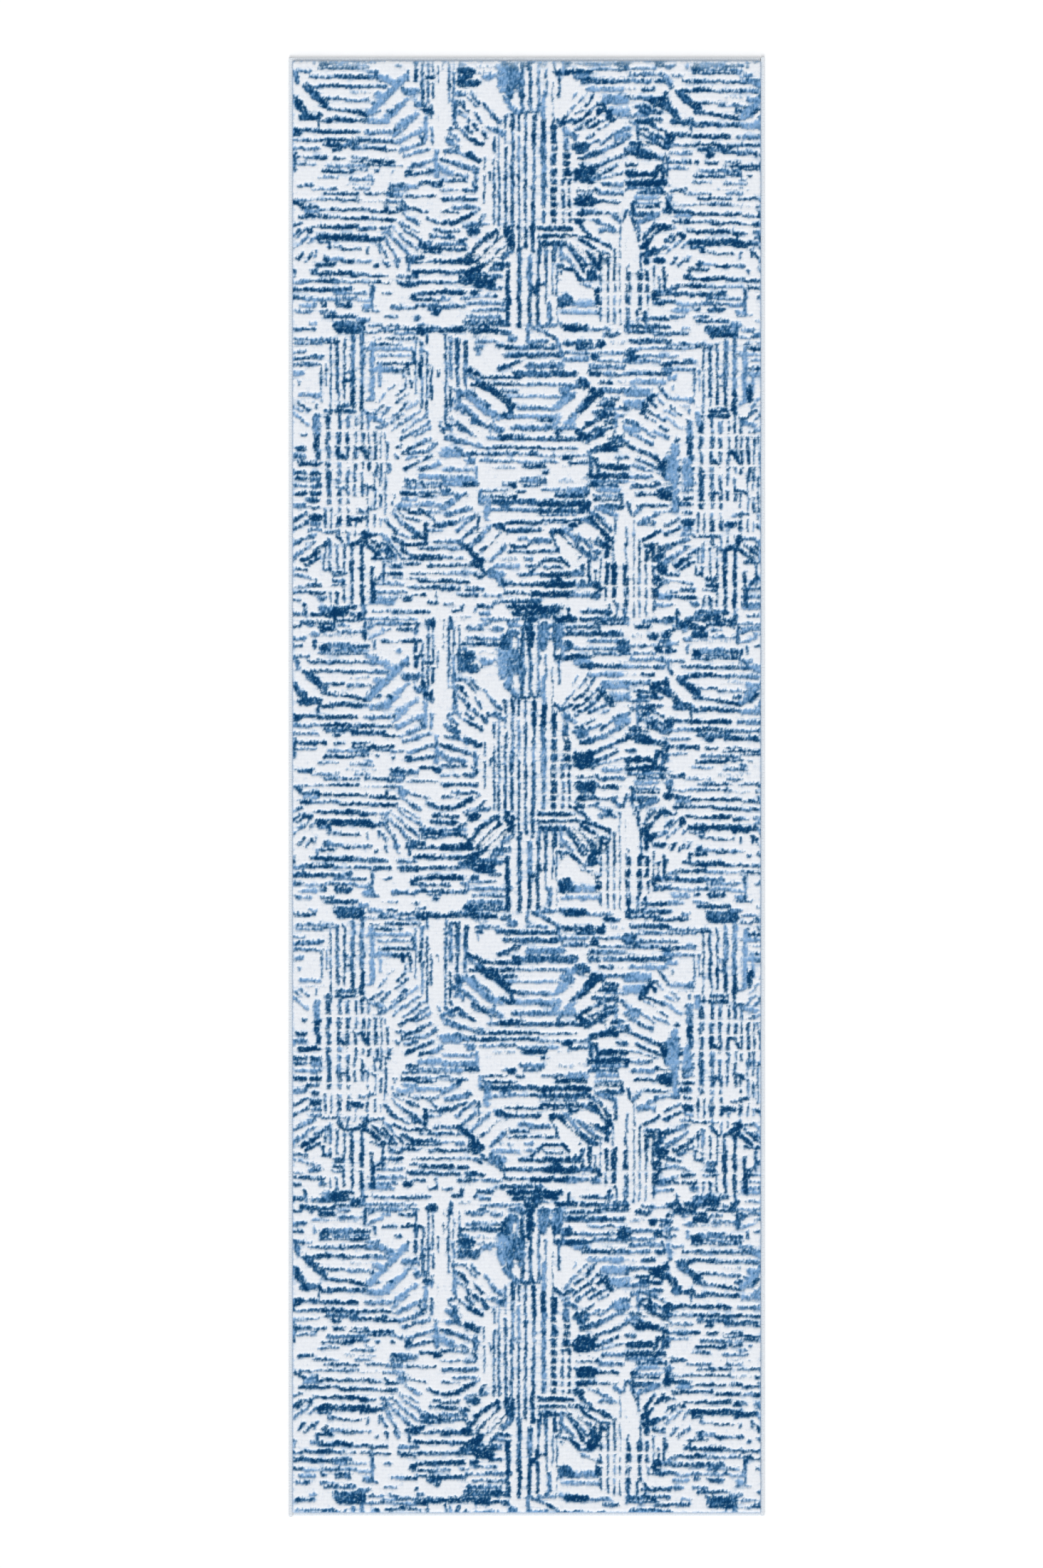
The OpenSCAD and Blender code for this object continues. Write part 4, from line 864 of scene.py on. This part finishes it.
# Raised strokes laid over the blue: (x from, y from, x to, y to, width)
raised = [
    (38, 93, 52, 93, 3), (38, 81, 80, 81, 5), (58, 70, 76, 70, 3), (36, 57, 76, 57, 4.5),
    (36, 39, 76, 39, 4.5), (36, 25, 76, 25, 4.5), (36, 12, 76, 12, 4.5), (36, 0, 52, 0, 3.5),
    (22, -13, 76, -13, 4.5), (36, -26, 76, -26, 4), (20, -39, 76, -39, 4.5), (22, -52, 78, -52, 5),
    (24, -63, 62, -63, 4), (58, 106, 70, 106, 3),
    (84, 20, 110, 20, 5), (84, -13, 100, -12, 3), (84, -26, 100, -26, 4), (82, 66, 98, 66, 4),
    (-18, 182, -18, 165, 8), (12, 205, 12, 228, 8), (13, 190, 13, 160, 8), (38, 238, 38, 130, 8),
    (-20, 232, -20, 244, 7), (24, 206, 24, 180, 5), (28, 186, 28, 200, 6),
    (-88, -92, -70, -70, 6), (-76, -98, -52, -74, 6), (-52, -74, -36, -62, 6),
    (-62, -104, -34, -76, 6), (-68, -110, -50, -96, 5), (-22, -90, -22, -140, 11),
    (-22, -176, -22, -206, 11), (-4, -82, -4, -206, 9), (12, -112, 12, -134, 6),
    (12, -160, 12, -204, 8), (26, -92, 26, -130, 6), (26, -144, 26, -200, 10),
    (38, -100, 38, -160, 6), (46, -160, 46, -200, 8), (60, -128, 84, -146, 14), (58, -132, 58, -150, 5),
    (70, -140, 108, -152, 12), (58, -196, 118, -196, 9), (118, -100, 118, -86, 3),
    (128, -100, 129, -200, 7), (140, -96, 140, -204, 6), (150, -80, 150, -204, 5),
    (160, -40, 160, -200, 8), (66, -58, 92, -92, 4), (76, -62, 104, -98, 4),
    (92, -78, 118, -92, 3), (128, -52, 152, -58, 5),
    (-100, -58, -84, -66, 5), (-104, -88, -140, -90, 9), (-142, -110, -104, -110, 7),
    (-82, 655, -42, 622, 9), (-104, 642, -64, 604, 8), (-122, 618, -76, 580, 9),
    (-132, 588, -84, 570, 6), (60, 608, 100, 656, 10), (84, 604, 120, 642, 9),
    (96, 590, 124, 600, 6), (98, 566, 140, 582, 6), (110, 548, 168, 552, 7),
    (-60, 447, 20, 447, 9), (-36, 414, -32, 398, 7), (-64, 390, -38, 418, 9),
    (-72, 400, -56, 416, 4), (50, 414, 84, 384, 11), (98, 356, 99, 344, 6),
    (118, 352, 118, 342, 6), (-136, 536, -104, 536, 8), (-100, 430, -88, 440, 4),
    (-92, 410, -66, 434, 4), (112, 470, 150, 470, 4), (86, 424, 110, 404, 4),
    (92, 402, 112, 386, 4), (118, 440, 130, 424, 4), (60, 346, 100, 346, 3),
    (54, 326, 116, 326, 4), (28, 369, 58, 369, 5), (-20, 640, 44, 638, 8),
    (-18, 620, 50, 620, 6), (-40, 604, 20, 604, 8), (-60, 570, 90, 569, 6),
    (142, 128, 168, 128, 8), (142, 158, 168, 158, 4), (110, 210, 166, 210, 8),
    (84, 236, 98, 238, 8), (64, 246, 96, 246, 5), (110, 233, 150, 233, 4),
    (-96, 202, -80, 204, 3), (-60, 190, -52, 204, 8),
    # Outer column
    (-338, 590, -240, 590, 5), (-336, 566, -240, 566, 3), (-345, 540, -215, 539, 5),
    (-326, 527, -290, 527, 4), (-345, 494, -332, 494, 4), (-345, 479, -262, 479, 4.5),
    (-340, 465, -266, 465, 7), (-318, 451, -258, 451, 4), (-320, 428, -240, 428, 4),
    (-320, 513, -300, 513, 2), (-140, 290, -143, 90, 7), (-151, 168, -148, 96, 8),
    (-370, 178, -350, 152, 6), (-214, 172, -240, 146, 7), (-190, 168, -222, 128, 8),
    (-195, 118, -220, 102, 5), (-352, -2, -215, -7, 5), (-360, -34, -250, -36, 4),
    # Lines across the bars of the upward spike
    (112, -134, 222, -134, 4), (118, -153, 206, -153, 4.5), (118, -174, 206, -174, 4),
    (168, -34, 168, -100, 7),
    # Diamonds above the upright medallion
    (-72, 188, -58, 168, 14), (-60, 190, -46, 166, 8), (62, 196, 70, 170, 12),
    (74, 200, 84, 192, 10),
]

# How unevenly the figure is woven, in millimetres
STRAY_X = 2.4
STRAY_Y = 2.8
STROKE_REACH = 6
FRINGE = 5.0
FRINGE_START = 1.6
BACK_FRINGE = 1.4
BACK_FRINGE_START = 0.4
CUT_START = 1.0
CUT = 3.0
THINNEST = 0.7
SWELL = 0.6
TUFT_STEP = 1.9
SOFT_EDGE = 1.6

tuft_columns = int(round(2 * half_field[0] / TUFT_PITCH)) + 1
tuft_rows = int(round(2 * half_field[1] / TUFT_PITCH)) + 1
tuft_x = np.linspace(-half_field[0], half_field[0], tuft_columns) / MM
tuft_y = np.linspace(-half_field[1], half_field[1], tuft_rows) / MM
loom = np.random.default_rng(7)


def mottle(cell_rows, cell_columns):
    """A smooth random value from 0 to 1 for each tuft, that changes over a few tufts."""
    knots = loom.random((int(tuft_rows / cell_rows) + 3, int(tuft_columns / cell_columns) + 3))
    row = np.arange(tuft_rows) / cell_rows
    column = np.arange(tuft_columns) / cell_columns
    j, i = row.astype(int), column.astype(int)
    v, u = row - j, column - i
    v, u = (v * v * (3 - 2 * v))[:, None], u * u * (3 - 2 * u)
    foot = knots[j][:, i] * (1 - u) + knots[j][:, i + 1] * u
    head = knots[j + 1][:, i] * (1 - u) + knots[j + 1][:, i + 1] * u
    return foot * (1 - v) + head * v


def soften(value, share):
    """Each tuft takes a share of its value from each of its neighbours."""
    wide = np.pad(value, 1, mode="edge")
    level = wide[:, 1:-1] * (1 - 2 * share) + (wide[:, :-2] + wide[:, 2:]) * share
    return level[1:-1] * (1 - 2 * share) + (level[:-2] + level[2:]) * share


plain_x, plain_y = np.meshgrid(tuft_x, tuft_y)
drawn_x = plain_x + (mottle(7, 5) - 0.5) * STRAY_X
drawn_y = plain_y + (mottle(3, 6) - 0.5) * STRAY_Y
swell = mottle(2.2, 3)
streak = mottle(2.0, 1.0)
tuft = loom.random((tuft_rows, tuft_columns))
cloud = mottle(7, 9)
fleck = loom.random((tuft_rows, tuft_columns))
thin_places = mottle(1.4, 6)
white = np.ones((tuft_rows, tuft_columns))
tone = np.zeros((tuft_rows, tuft_columns))


def repeats(x0, y0, x1, y1):
    """The same stroke in every strip of the rug. All strips repeat along the rug. The
    right column is the left one moved over, and next to it the middle strip is mirrored."""
    in_left_column = x0 + x1 < 2 * STRIP_SIDES[0]
    in_right_column = x0 + x1 > 2 * STRIP_SIDES[1]
    level = y0 == y1
    for two_rows in range(-2, 3):
        shift = 2 * two_rows * MEDALLION_STEP
        yield x0, y0 + shift, x1, y1 + shift
        if in_left_column:
            yield (x0 + COLUMN_MOVE[0], y0 + shift + COLUMN_MOVE[1],
                   x1 + COLUMN_MOVE[0], y1 + shift + COLUMN_MOVE[1])
        elif in_right_column:
            continue
        elif min(x0, x1) > MIRRORED_FROM or level and max(x0, x1) > MIRRORED_FROM:
            yield (2 * STRIP_SIDES[1] - max(x0, MIRRORED_FROM), y0 + shift - MEDALLION_STEP,
                   2 * STRIP_SIDES[1] - max(x1, MIRRORED_FROM), y1 + shift - MEDALLION_STEP)


def stroke_cover(x0, y0, x1, y1, width, raised=False):
    """Which tufts a stroke takes, as a window of the rug and a share for each tuft. The
    pile leans towards the head end, so a blue stroke is fringed along its upper edge,
    and a raised white one is cut into along its lower edge."""
    reach = width / 2 + STROKE_REACH
    left, right = np.searchsorted(tuft_x, (min(x0, x1) - reach, max(x0, x1) + reach))
    foot, head = np.searchsorted(tuft_y, (min(y0, y1) - reach, max(y0, y1) + reach))
    window = slice(foot, head), slice(left, right)
    x, y = drawn_x[window], drawn_y[window]
    run_x, run_y = x1 - x0, y1 - y0
    part = ((x - x0) * run_x + (y - y0) * run_y) / max(run_x ** 2 + run_y ** 2, 1e-6)
    part = np.clip(part, 0, 1)
    off_x, off_y = x - x0 - part * run_x, y - y0 - part * run_y
    if raised:
        fringe = np.where(off_y < 0, CUT_START - streak[window] * CUT, 0)
    else:
        fringe = np.where(off_y > 0, streak[window] * FRINGE - FRINGE_START,
                          (streak[window] - BACK_FRINGE_START) * BACK_FRINGE)
    half = width / 2 * (THINNEST + SWELL * swell[window]) + fringe
    half += (tuft[window] - 0.5) * TUFT_STEP
    return window, np.clip((half - np.hypot(off_x, off_y)) / SOFT_EDGE + 0.5, 0, 1)


def weave_blue(x0, y0, x1, y1, width, shade):
    """Lays a blue stroke: less white yarn where it lies, and its own share of navy."""
    for ends in repeats(x0, y0, x1, y1):
        window, share = stroke_cover(*ends, width)
        tint = shade
        # A faint line, also a painted shadow line of the relief, covers only in part, in pale blue.
        if shade == FAINT_AND_SHADOW_LINE:
            share = share * np.clip((streak[window] - 0.35) * 3, 0, 1) * FAINT_SHADOW_COVER
            tint = FAINT_SHADOW_NAVY
        white[window] = np.minimum(white[window], 1 - share)
        blend = tone[window] * (1 - share) + tint * share
        tone[window] = np.where(share > 0.05, blend, tone[window])


def weave_white(x0, y0, x1, y1, width):
    """Lays a raised white stroke over the blue ones."""
    for ends in repeats(x0, y0, x1, y1):
        window, share = stroke_cover(*ends, width, raised=True)
        white[window] = np.maximum(white[window], share)


for x0, x1, y, width, shade in across:
    weave_blue(x0 + width / 4, y, x1 - width / 4, y, width, shade)
for x, y0, y1, width, shade in along:
    weave_blue(x, y0, x, y1, width, shade)
for x0, y0, x1, y1, width, shade in slant:
    weave_blue(x0, y0, x1, y1, width, shade)
for x0, y0, x1, y1, width in raised:
    weave_white(x0, y0, x1, y1, width)

# A few blue tufts run all round the field, beside the serging
BESIDE_REACH = 3.2
BESIDE_COVER = 0.5
BESIDE_NAVY = 0.15

to_side = np.minimum(plain_x - tuft_x[0], tuft_x[-1] - plain_x)
to_end = np.minimum(plain_y - tuft_y[0], tuft_y[-1] - plain_y)
to_edge = np.minimum(to_side, to_end)
beside = np.clip((BESIDE_REACH - to_edge - 2 * streak) / 2, 0, 1) * BESIDE_COVER
white = np.minimum(white, 1 - beside)
tone = np.where(beside > 0.1, BESIDE_NAVY, tone)

# The strokes thin out in the last rows at the head end
HEAD_ROWS = 18

last_rows = np.clip(1 - (tuft_y[-1] - plain_y) / HEAD_ROWS, 0, 1)
white = np.maximum(white, last_rows * streak)

# The yarns mix a little: navy and sky blue from tuft to tuft, single white tufts among
# the blue, a pale haze beside the strokes, and thin blue lines in the crowded places
STREAK_NAVY = 1.1
TUFT_NAVY = 0.5
CLOUD_NAVY = 0.5
FLECK_SHARE = 0.1
FLECK_WHITE = 0.65
TUFT_WHITE = 0.3
HAZE = 0.2
CROWD_SPREAD = 8
THIN_FROM = 0.56
THIN_DEPTH = 0.42

navy = soften(np.clip(tone + (streak - 0.5) * STREAK_NAVY + (tuft - 0.5) * TUFT_NAVY
                      + (cloud - 0.5) * CLOUD_NAVY, 0, 1), 0.12)
white = np.where((white < 0.4) & (fleck < FLECK_SHARE), FLECK_WHITE, white)
haze = soften(soften(soften(white, 0.25), 0.25), 0.25)
crowd = haze
for _ in range(CROWD_SPREAD):
    crowd = soften(crowd, 0.25)
crowd = np.clip((1 - crowd) * 2.5, 0.3, 1)
pale = np.clip(white + (tuft - 0.5) * TUFT_WHITE * (white < 0.97), 0, 1)
pale = soften(pale, 0.1) * (1 - HAZE) + haze * HAZE
pale -= np.clip((thin_places - THIN_FROM) * 3.5, 0, 1) * THIN_DEPTH * pale * crowd

# Height of each tuft: white ones stand up to the top of the figure, and every tuft is
# cut a little longer or shorter than the next
LOW_JITTER = 0.45 * MM
HIGH_JITTER = 0.22 * MM
EDGE_TRIM = 1.0 * MM
TRIM_REACH = 7
NAP_RIBS = 0.18 * MM
NAP_RIB_PITCH = 6.2
PLACE_JITTER = 0.25 * MM

figure_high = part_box("white_pile")[1]
rise = soften(white, 0.16)
height = pile_high.z + (figure_high.z - pile_high.z) * rise
height += (tuft - 0.5) * (LOW_JITTER + (HIGH_JITTER - LOW_JITTER) * rise)
height += NAP_RIBS * np.sin(plain_y * 2 * np.pi / NAP_RIB_PITCH + 2 * swell) * rise
trim = np.clip(1 - to_edge / TRIM_REACH, 0, 1)
height -= trim ** 2 * EDGE_TRIM
inside = to_edge > 0
place_x = plain_x * MM + (loom.random(height.shape) - 0.5) * PLACE_JITTER * inside
place_y = plain_y * MM + (loom.random(height.shape) - 0.5) * PLACE_JITTER * inside

pile, pile_tree, pile_shader, pile_place = new_material(
    "cut_pile", roughness=1.0, sheen=0.03, gloss=0.03)
pile_fibres = add_fibres(pile_tree, pile_place, 0.0009, stretch=(1.0, 0.45, 1.0))


def tuft_value(name):
    reader = add_node(pile_tree, "ShaderNodeAttribute", attribute_type="GEOMETRY")
    reader.attribute_name = name
    return reader.outputs["Fac"]


def with_fibres(value, amount):
    """A tuft's value, made finer by the fibres in it, and kept from 0 to 1."""
    centred = calculate(pile_tree, "SUBTRACT", pile_fibres.outputs["Mask"], 0.5)
    node_value = calculate(pile_tree, "ADD", value, calculate(
        pile_tree, "MULTIPLY", centred, amount))
    clamp = add_node(pile_tree, "ShaderNodeClamp")
    pile_tree.links.new(node_value, clamp.inputs["Value"])
    return clamp.outputs["Result"]


# Yarns mix as seen, fibre by fibre, so the shades are mixed first and made linear last
WHITE_RANGE = (0.05, 0.89)
SKY_SHADE = (0.5, 0.65, 0.81)
NAVY_SHADE = (0.0, 0.19, 0.35)
WHITE_SHADES = (0.87, 0.882, 0.905), (0.91, 0.918, 0.932)
EYE_GAMMA = 2.2

blue_yarn = mix_colours(pile_tree, with_fibres(tuft_value("navy"), 0.35),
                        SKY_SHADE, NAVY_SHADE)
white_yarn = mix_colours(pile_tree, pile_fibres.outputs["Mask"], *WHITE_SHADES)
ragged = with_fibres(tuft_value("white"), 0.3)
sharper = add_node(pile_tree, "ShaderNodeMapRange")
sharper.inputs["From Min"].default_value = WHITE_RANGE[0]
sharper.inputs["From Max"].default_value = WHITE_RANGE[1]
pile_tree.links.new(ragged, sharper.inputs["Value"])
pile_colour = mix_colours(pile_tree, sharper.outputs["Result"], blue_yarn, white_yarn)
as_light = add_node(pile_tree, "ShaderNodeGamma")
as_light.inputs["Gamma"].default_value = EYE_GAMMA
pile_tree.links.new(pile_colour, as_light.inputs["Color"])
pile_tree.links.new(as_light.outputs["Color"], pile_shader.inputs["Base Color"])
add_bump(pile_tree, pile_shader, pile_fibres.outputs["Height"], 0.0005, 0.6)

# The pile is one piece for each row of medallions, five in all, which meet tuft to tuft
PILE_ROWS = 5
row_ends = np.linspace(0, tuft_rows - 1, PILE_ROWS + 1).astype(int)
skirt_z = pile_low.z
for number, (start, end) in enumerate(zip(row_ends[:-1], row_ends[1:]), 1):
    rows = slice(start, end + 1)
    top = np.stack([place_x[rows], place_y[rows], height[rows]], axis=-1)
    count_rows = end - start + 1
    count = count_rows * tuft_columns
    index = np.arange(count).reshape(count_rows, tuft_columns)
    faces = list(grid_faces(count_rows, tuft_columns))
    points = [top.reshape(-1, 3)]
    edges = [index[:, -1], index[::-1, 0]]
    if number == 1:
        edges.append(index[0])
    if number == PILE_ROWS:
        edges.append(index[-1, ::-1])
    for edge in edges:
        below = points[0][edge].copy()
        below[:, 2] = skirt_z
        low = np.arange(len(edge)) + sum(len(p) for p in points)
        points.append(below)
        faces += list(np.stack([low[:-1], low[1:], edge[1:], edge[:-1]], axis=1))
    piece = mesh_piece(f"pile_row_{number}", np.concatenate(points), faces, pile)
    extra = sum(len(p) for p in points[1:])
    for name, values in (("white", pale), ("navy", navy)):
        layer = piece.data.attributes.new(name, "FLOAT", "POINT")
        layer.data.foreach_set("value", np.concatenate(
            [values[rows].ravel(), np.zeros(extra)]).astype(np.float32))
    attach(piece, "root")
    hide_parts("sky_blue_pile", "navy_pile", "white_pile")

# The edge cords. A thin cord of three twisted strands lies inside each serged edge and
# gives it a firm round edge.
CORD_STEP = 0.003
CORD_TWIST_LENGTH = 0.018
STRANDS = 3
STRAND_GROOVE = 0.72
CORD_SHORT = 0.002

twisted_cord, cord_in, cord_out = new_geometry_tree(
    "Twisted cord",
    [("Start", "NodeSocketVector"), ("End", "NodeSocketVector"), ("Rings", "NodeSocketInt"),
     ("Turn", "NodeSocketFloat"), ("Radius", "NodeSocketFloat"), ("Strands", "NodeSocketInt"),
     ("Yarn", "NodeSocketMaterial")])
cord_line = add_node(twisted_cord, "GeometryNodeCurvePrimitiveLine", mode="POINTS")
cord_rings = add_node(twisted_cord, "GeometryNodeResampleCurve")
cord_tilt = add_node(twisted_cord, "GeometryNodeSetCurveTilt")
ring_number = add_node(twisted_cord, "GeometryNodeInputIndex")
ring_turn = add_node(twisted_cord, "ShaderNodeMath", operation="MULTIPLY")
cord_section = add_node(twisted_cord, "GeometryNodeCurveStar")
groove = add_node(twisted_cord, "ShaderNodeMath", operation="MULTIPLY")
groove.inputs[1].default_value = STRAND_GROOVE
cord_tube = add_node(twisted_cord, "GeometryNodeCurveToMesh")
cord_tube.inputs["Fill Caps"].default_value = True
cord_real = add_node(twisted_cord, "GeometryNodeRealizeInstances")
cord_finish = add_node(twisted_cord, "GeometryNodeSetMaterial")
for source, target in (
        (cord_in.outputs["Start"], cord_line.inputs["Start"]),
        (cord_in.outputs["End"], cord_line.inputs["End"]),
        (cord_line.outputs["Curve"], cord_rings.inputs["Curve"]),
        (cord_in.outputs["Rings"], cord_rings.inputs["Count"]),
        (cord_rings.outputs["Curve"], cord_tilt.inputs["Curve"]),
        (ring_number.outputs["Index"], ring_turn.inputs[0]),
        (cord_in.outputs["Turn"], ring_turn.inputs[1]),
        (ring_turn.outputs[0], cord_tilt.inputs["Tilt"]),
        (cord_in.outputs["Strands"], cord_section.inputs["Points"]),
        (cord_in.outputs["Radius"], groove.inputs[0]),
        (groove.outputs[0], cord_section.inputs["Inner Radius"]),
        (cord_in.outputs["Radius"], cord_section.inputs["Outer Radius"]),
        (cord_tilt.outputs["Curve"], cord_tube.inputs["Curve"]),
        (cord_section.outputs["Curve"], cord_tube.inputs["Profile Curve"]),
        (cord_tube.outputs["Mesh"], cord_real.inputs["Geometry"]),
        (cord_real.outputs["Geometry"], cord_finish.inputs["Geometry"]),
        (cord_in.outputs["Yarn"], cord_finish.inputs["Material"]),
        (cord_finish.outputs["Geometry"], cord_out.inputs["Geometry"])):
    twisted_cord.links.new(source, target)

cord_yarn = yarn_material("cord_yarn", (0.84, 0.82, 0.75), (0.68, 0.65, 0.57), 0.0004)
EDGES = ("left", "right", "head", "foot")
for edge in EDGES:
    low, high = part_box("edge_cord_" + edge)
    middle = (low + high) / 2
    runs_along = 1 if edge in ("left", "right") else 0
    start, end = list(middle), list(middle)
    start[runs_along] = low[runs_along] + CORD_SHORT
    end[runs_along] = high[runs_along] - CORD_SHORT
    rings = int((high[runs_along] - low[runs_along]) / CORD_STEP)
    cord_piece = run_geometry_tree(twisted_cord, f"cord_{edge}", {
        "Start": start, "End": end, "Rings": rings, "Strands": STRANDS,
        "Turn": 2 * math.pi * CORD_STEP / CORD_TWIST_LENGTH,
        "Radius": (high.z - low.z) / 2, "Yarn": cord_yarn})
    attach(cord_piece, "root")
    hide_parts("edge_cord_" + edge)

# The serging. A pale yarn is overlocked round each edge, over the cord, in close wraps
# that lean a little. The two long edges are serged from end to end, and the two short
# ones between them. At the corners the last wrap is drawn shut.
WRAP_PITCH = 0.0026
WRAP_THICK = 0.001
WRAP_WIDE = 0.0034
WRAP_SIDES = 6
WRAP_LEAN = math.radians(9)
WRAP_UNEVEN = math.radians(2.5)
CORNER_CUT = 0.3
BEND_FROM = 1.4
BEND_STEPS = 5
END_BULGE = 0.0007
END_RINGS = (0.0, 0.3, 0.65)

serge_low, serge_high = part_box("serging_right")
serge_width = serge_high.x - half_field[0]
serge_height = serge_high.z - serge_low.z


def wrap_path():
    """The middle line of one wrap, in its own plane: x out from the field, z up."""
    inner = WRAP_THICK / 2
    outer = serge_width - WRAP_THICK / 2
    low = WRAP_THICK / 2
    high = serge_height - WRAP_THICK / 2
    bend = (high - low) / 2
    cut = CORNER_CUT * bend
    bend_x = outer - BEND_FROM * bend
    path = [(inner + cut, low), (inner, low + cut), (inner, high - cut),
            (inner + cut, high), (bend_x, high)]
    for n in range(BEND_STEPS + 1):
        turn = math.pi / 2 - math.pi * n / BEND_STEPS
        path.append((outer - bend + bend * math.cos(turn), low + bend + bend * math.sin(turn)))
    path.append((bend_x, low))
    return path


def wrap_mesh():
    """One closed wrap of flattened yarn round the edge, as a ring of sections."""
    path = np.array(wrap_path())
    ahead = np.roll(path, -1, axis=0) - np.roll(path, 1, axis=0)
    ahead /= np.linalg.norm(ahead, axis=1)[:, None]
    outward = np.stack([-ahead[:, 1], ahead[:, 0]], axis=1)
    turn = 2 * math.pi * np.arange(WRAP_SIDES) / WRAP_SIDES
    points = []
    for centre, out in zip(path, outward):
        for a in turn:
            x, z = centre + out * (WRAP_THICK / 2) * math.cos(a)
            points.append((x, WRAP_WIDE / 2 * math.sin(a), z))
    faces = []
    stations = len(path)
    for n in range(stations):
        for m in range(WRAP_SIDES):
            after, beside_it = (n + 1) % stations, (m + 1) % WRAP_SIDES
            faces.append((n * WRAP_SIDES + m, after * WRAP_SIDES + m,
                          after * WRAP_SIDES + beside_it, n * WRAP_SIDES + beside_it))
    mesh = bpy.data.meshes.new("wrap")
    mesh.from_pydata(points, [], faces)
    mesh.polygons.foreach_set("use_smooth", [True] * len(faces))
    return mesh


serged_edge, serge_in, serge_out = new_geometry_tree(
    "Serged edge",
    [("Count", "NodeSocketInt"), ("First", "NodeSocketVector"), ("Step", "NodeSocketVector"),
     ("Turn", "NodeSocketFloat"), ("Lean", "NodeSocketFloat"), ("Unevenness", "NodeSocketFloat"),
     ("Seed", "NodeSocketInt"), ("Yarn", "NodeSocketMaterial")])
wrap_places = add_node(serged_edge, "GeometryNodeMeshLine", mode="OFFSET")
wrap_copies = add_node(serged_edge, "GeometryNodeInstanceOnPoints")
wrap_turn = add_node(serged_edge, "ShaderNodeCombineXYZ")
wrap_uneven = add_node(serged_edge, "FunctionNodeRandomValue", data_type="FLOAT")
less = add_node(serged_edge, "ShaderNodeMath", operation="MULTIPLY")
less.inputs[1].default_value = -1.0
leaning = add_node(serged_edge, "ShaderNodeMath", operation="ADD")
turned = add_node(serged_edge, "ShaderNodeMath", operation="ADD")
wrap_real = add_node(serged_edge, "GeometryNodeRealizeInstances")
wrap_finish = add_node(serged_edge, "GeometryNodeSetMaterial")
uneven_in = {s.identifier: s for s in wrap_uneven.inputs}
uneven_out = next(s for s in wrap_uneven.outputs if s.identifier == "Value_001")
for source, target in (
        (serge_in.outputs["Count"], wrap_places.inputs["Count"]),
        (serge_in.outputs["First"], wrap_places.inputs["Start Location"]),
        (serge_in.outputs["Step"], wrap_places.inputs["Offset"]),
        (serge_in.outputs["Unevenness"], less.inputs[0]),
        (less.outputs[0], uneven_in["Min_001"]),
        (serge_in.outputs["Unevenness"], uneven_in["Max_001"]),
        (serge_in.outputs["Seed"], uneven_in["Seed"]),
        (uneven_out, leaning.inputs[0]),
        (serge_in.outputs["Lean"], leaning.inputs[1]),
        (leaning.outputs[0], turned.inputs[0]),
        (serge_in.outputs["Turn"], turned.inputs[1]),
        (turned.outputs[0], wrap_turn.inputs["Z"]),
        (wrap_places.outputs["Mesh"], wrap_copies.inputs["Points"]),
        (serge_in.outputs["Geometry"], wrap_copies.inputs["Instance"]),
        (wrap_turn.outputs["Vector"], wrap_copies.inputs["Rotation"]),
        (wrap_copies.outputs["Instances"], wrap_real.inputs["Geometry"]),
        (wrap_real.outputs["Geometry"], wrap_finish.inputs["Geometry"]),
        (serge_in.outputs["Yarn"], wrap_finish.inputs["Material"]),
        (wrap_finish.outputs["Geometry"], serge_out.inputs["Geometry"])):
    serged_edge.links.new(source, target)

def draw_shut(piece, first, direction, out, length):
    """The last wrap at each end of an edge is drawn shut over the end of the cord."""
    outline = np.array(wrap_path())
    lean_along = direction * math.cos(WRAP_LEAN) - out * math.sin(WRAP_LEAN)
    lean_out = out * math.cos(WRAP_LEAN) + direction * math.sin(WRAP_LEAN)
    shell = bmesh.new()
    shell.from_mesh(piece.data)
    shell.faces.ensure_lookup_table()
    yarn_slot = shell.faces[0].material_index
    for place, facing in ((0.0, -1), (length, 1)):
        rings = []
        for share in END_RINGS:
            bulge = WRAP_WIDE / 2 + END_BULGE * math.sin(share * math.pi / 2)
            section = outline + (outline.mean(axis=0) - outline) * share
            rings.append([shell.verts.new(
                first + direction * place + lean_out * x + lean_along * facing * bulge
                + np.array([0.0, 0.0, z])) for x, z in section[::facing]])
        for ring, inner_ring in zip(rings[:-1], rings[1:]):
            for n in range(len(ring)):
                shell.faces.new((ring[n - 1], ring[n], inner_ring[n], inner_ring[n - 1]))
        shell.faces.new(rings[-1])
    for face in shell.faces:
        face.smooth = True
        face.material_index = yarn_slot
    shell.to_mesh(piece.data)
    shell.free()


serging_yarn = yarn_material("serging_yarn", (0.85, 0.875, 0.90), (0.73, 0.775, 0.825), 0.0005,
                             roughness=0.8, sheen=0.2)
one_wrap = wrap_mesh()
for number, edge in enumerate(EDGES):
    low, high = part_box("serging_" + edge)
    runs_along = 1 if edge in ("left", "right") else 0
    length = high[runs_along] - low[runs_along] - WRAP_WIDE
    count = int(length / WRAP_PITCH) + 1
    turn = {"right": 0.0, "head": math.pi / 2, "left": math.pi, "foot": -math.pi / 2}[edge]
    direction = np.array([-math.sin(turn), math.cos(turn), 0.0])
    out = np.array([math.cos(turn), math.sin(turn), 0.0])
    from_middle = half_field[0] if runs_along else half_field[1]
    first = out * from_middle - direction * length / 2
    edge_piece = run_geometry_tree(serged_edge, "serging_yarn_" + edge, {
        "Count": count, "First": first.tolist(),
        "Step": (direction * length / (count - 1)).tolist(), "Turn": turn, "Lean": WRAP_LEAN,
        "Unevenness": WRAP_UNEVEN, "Seed": number, "Yarn": serging_yarn}, one_wrap)
    if runs_along:
        draw_shut(edge_piece, first, direction, out, length)
    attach(edge_piece, "root")
    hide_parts("serging_" + edge)

low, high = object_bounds()
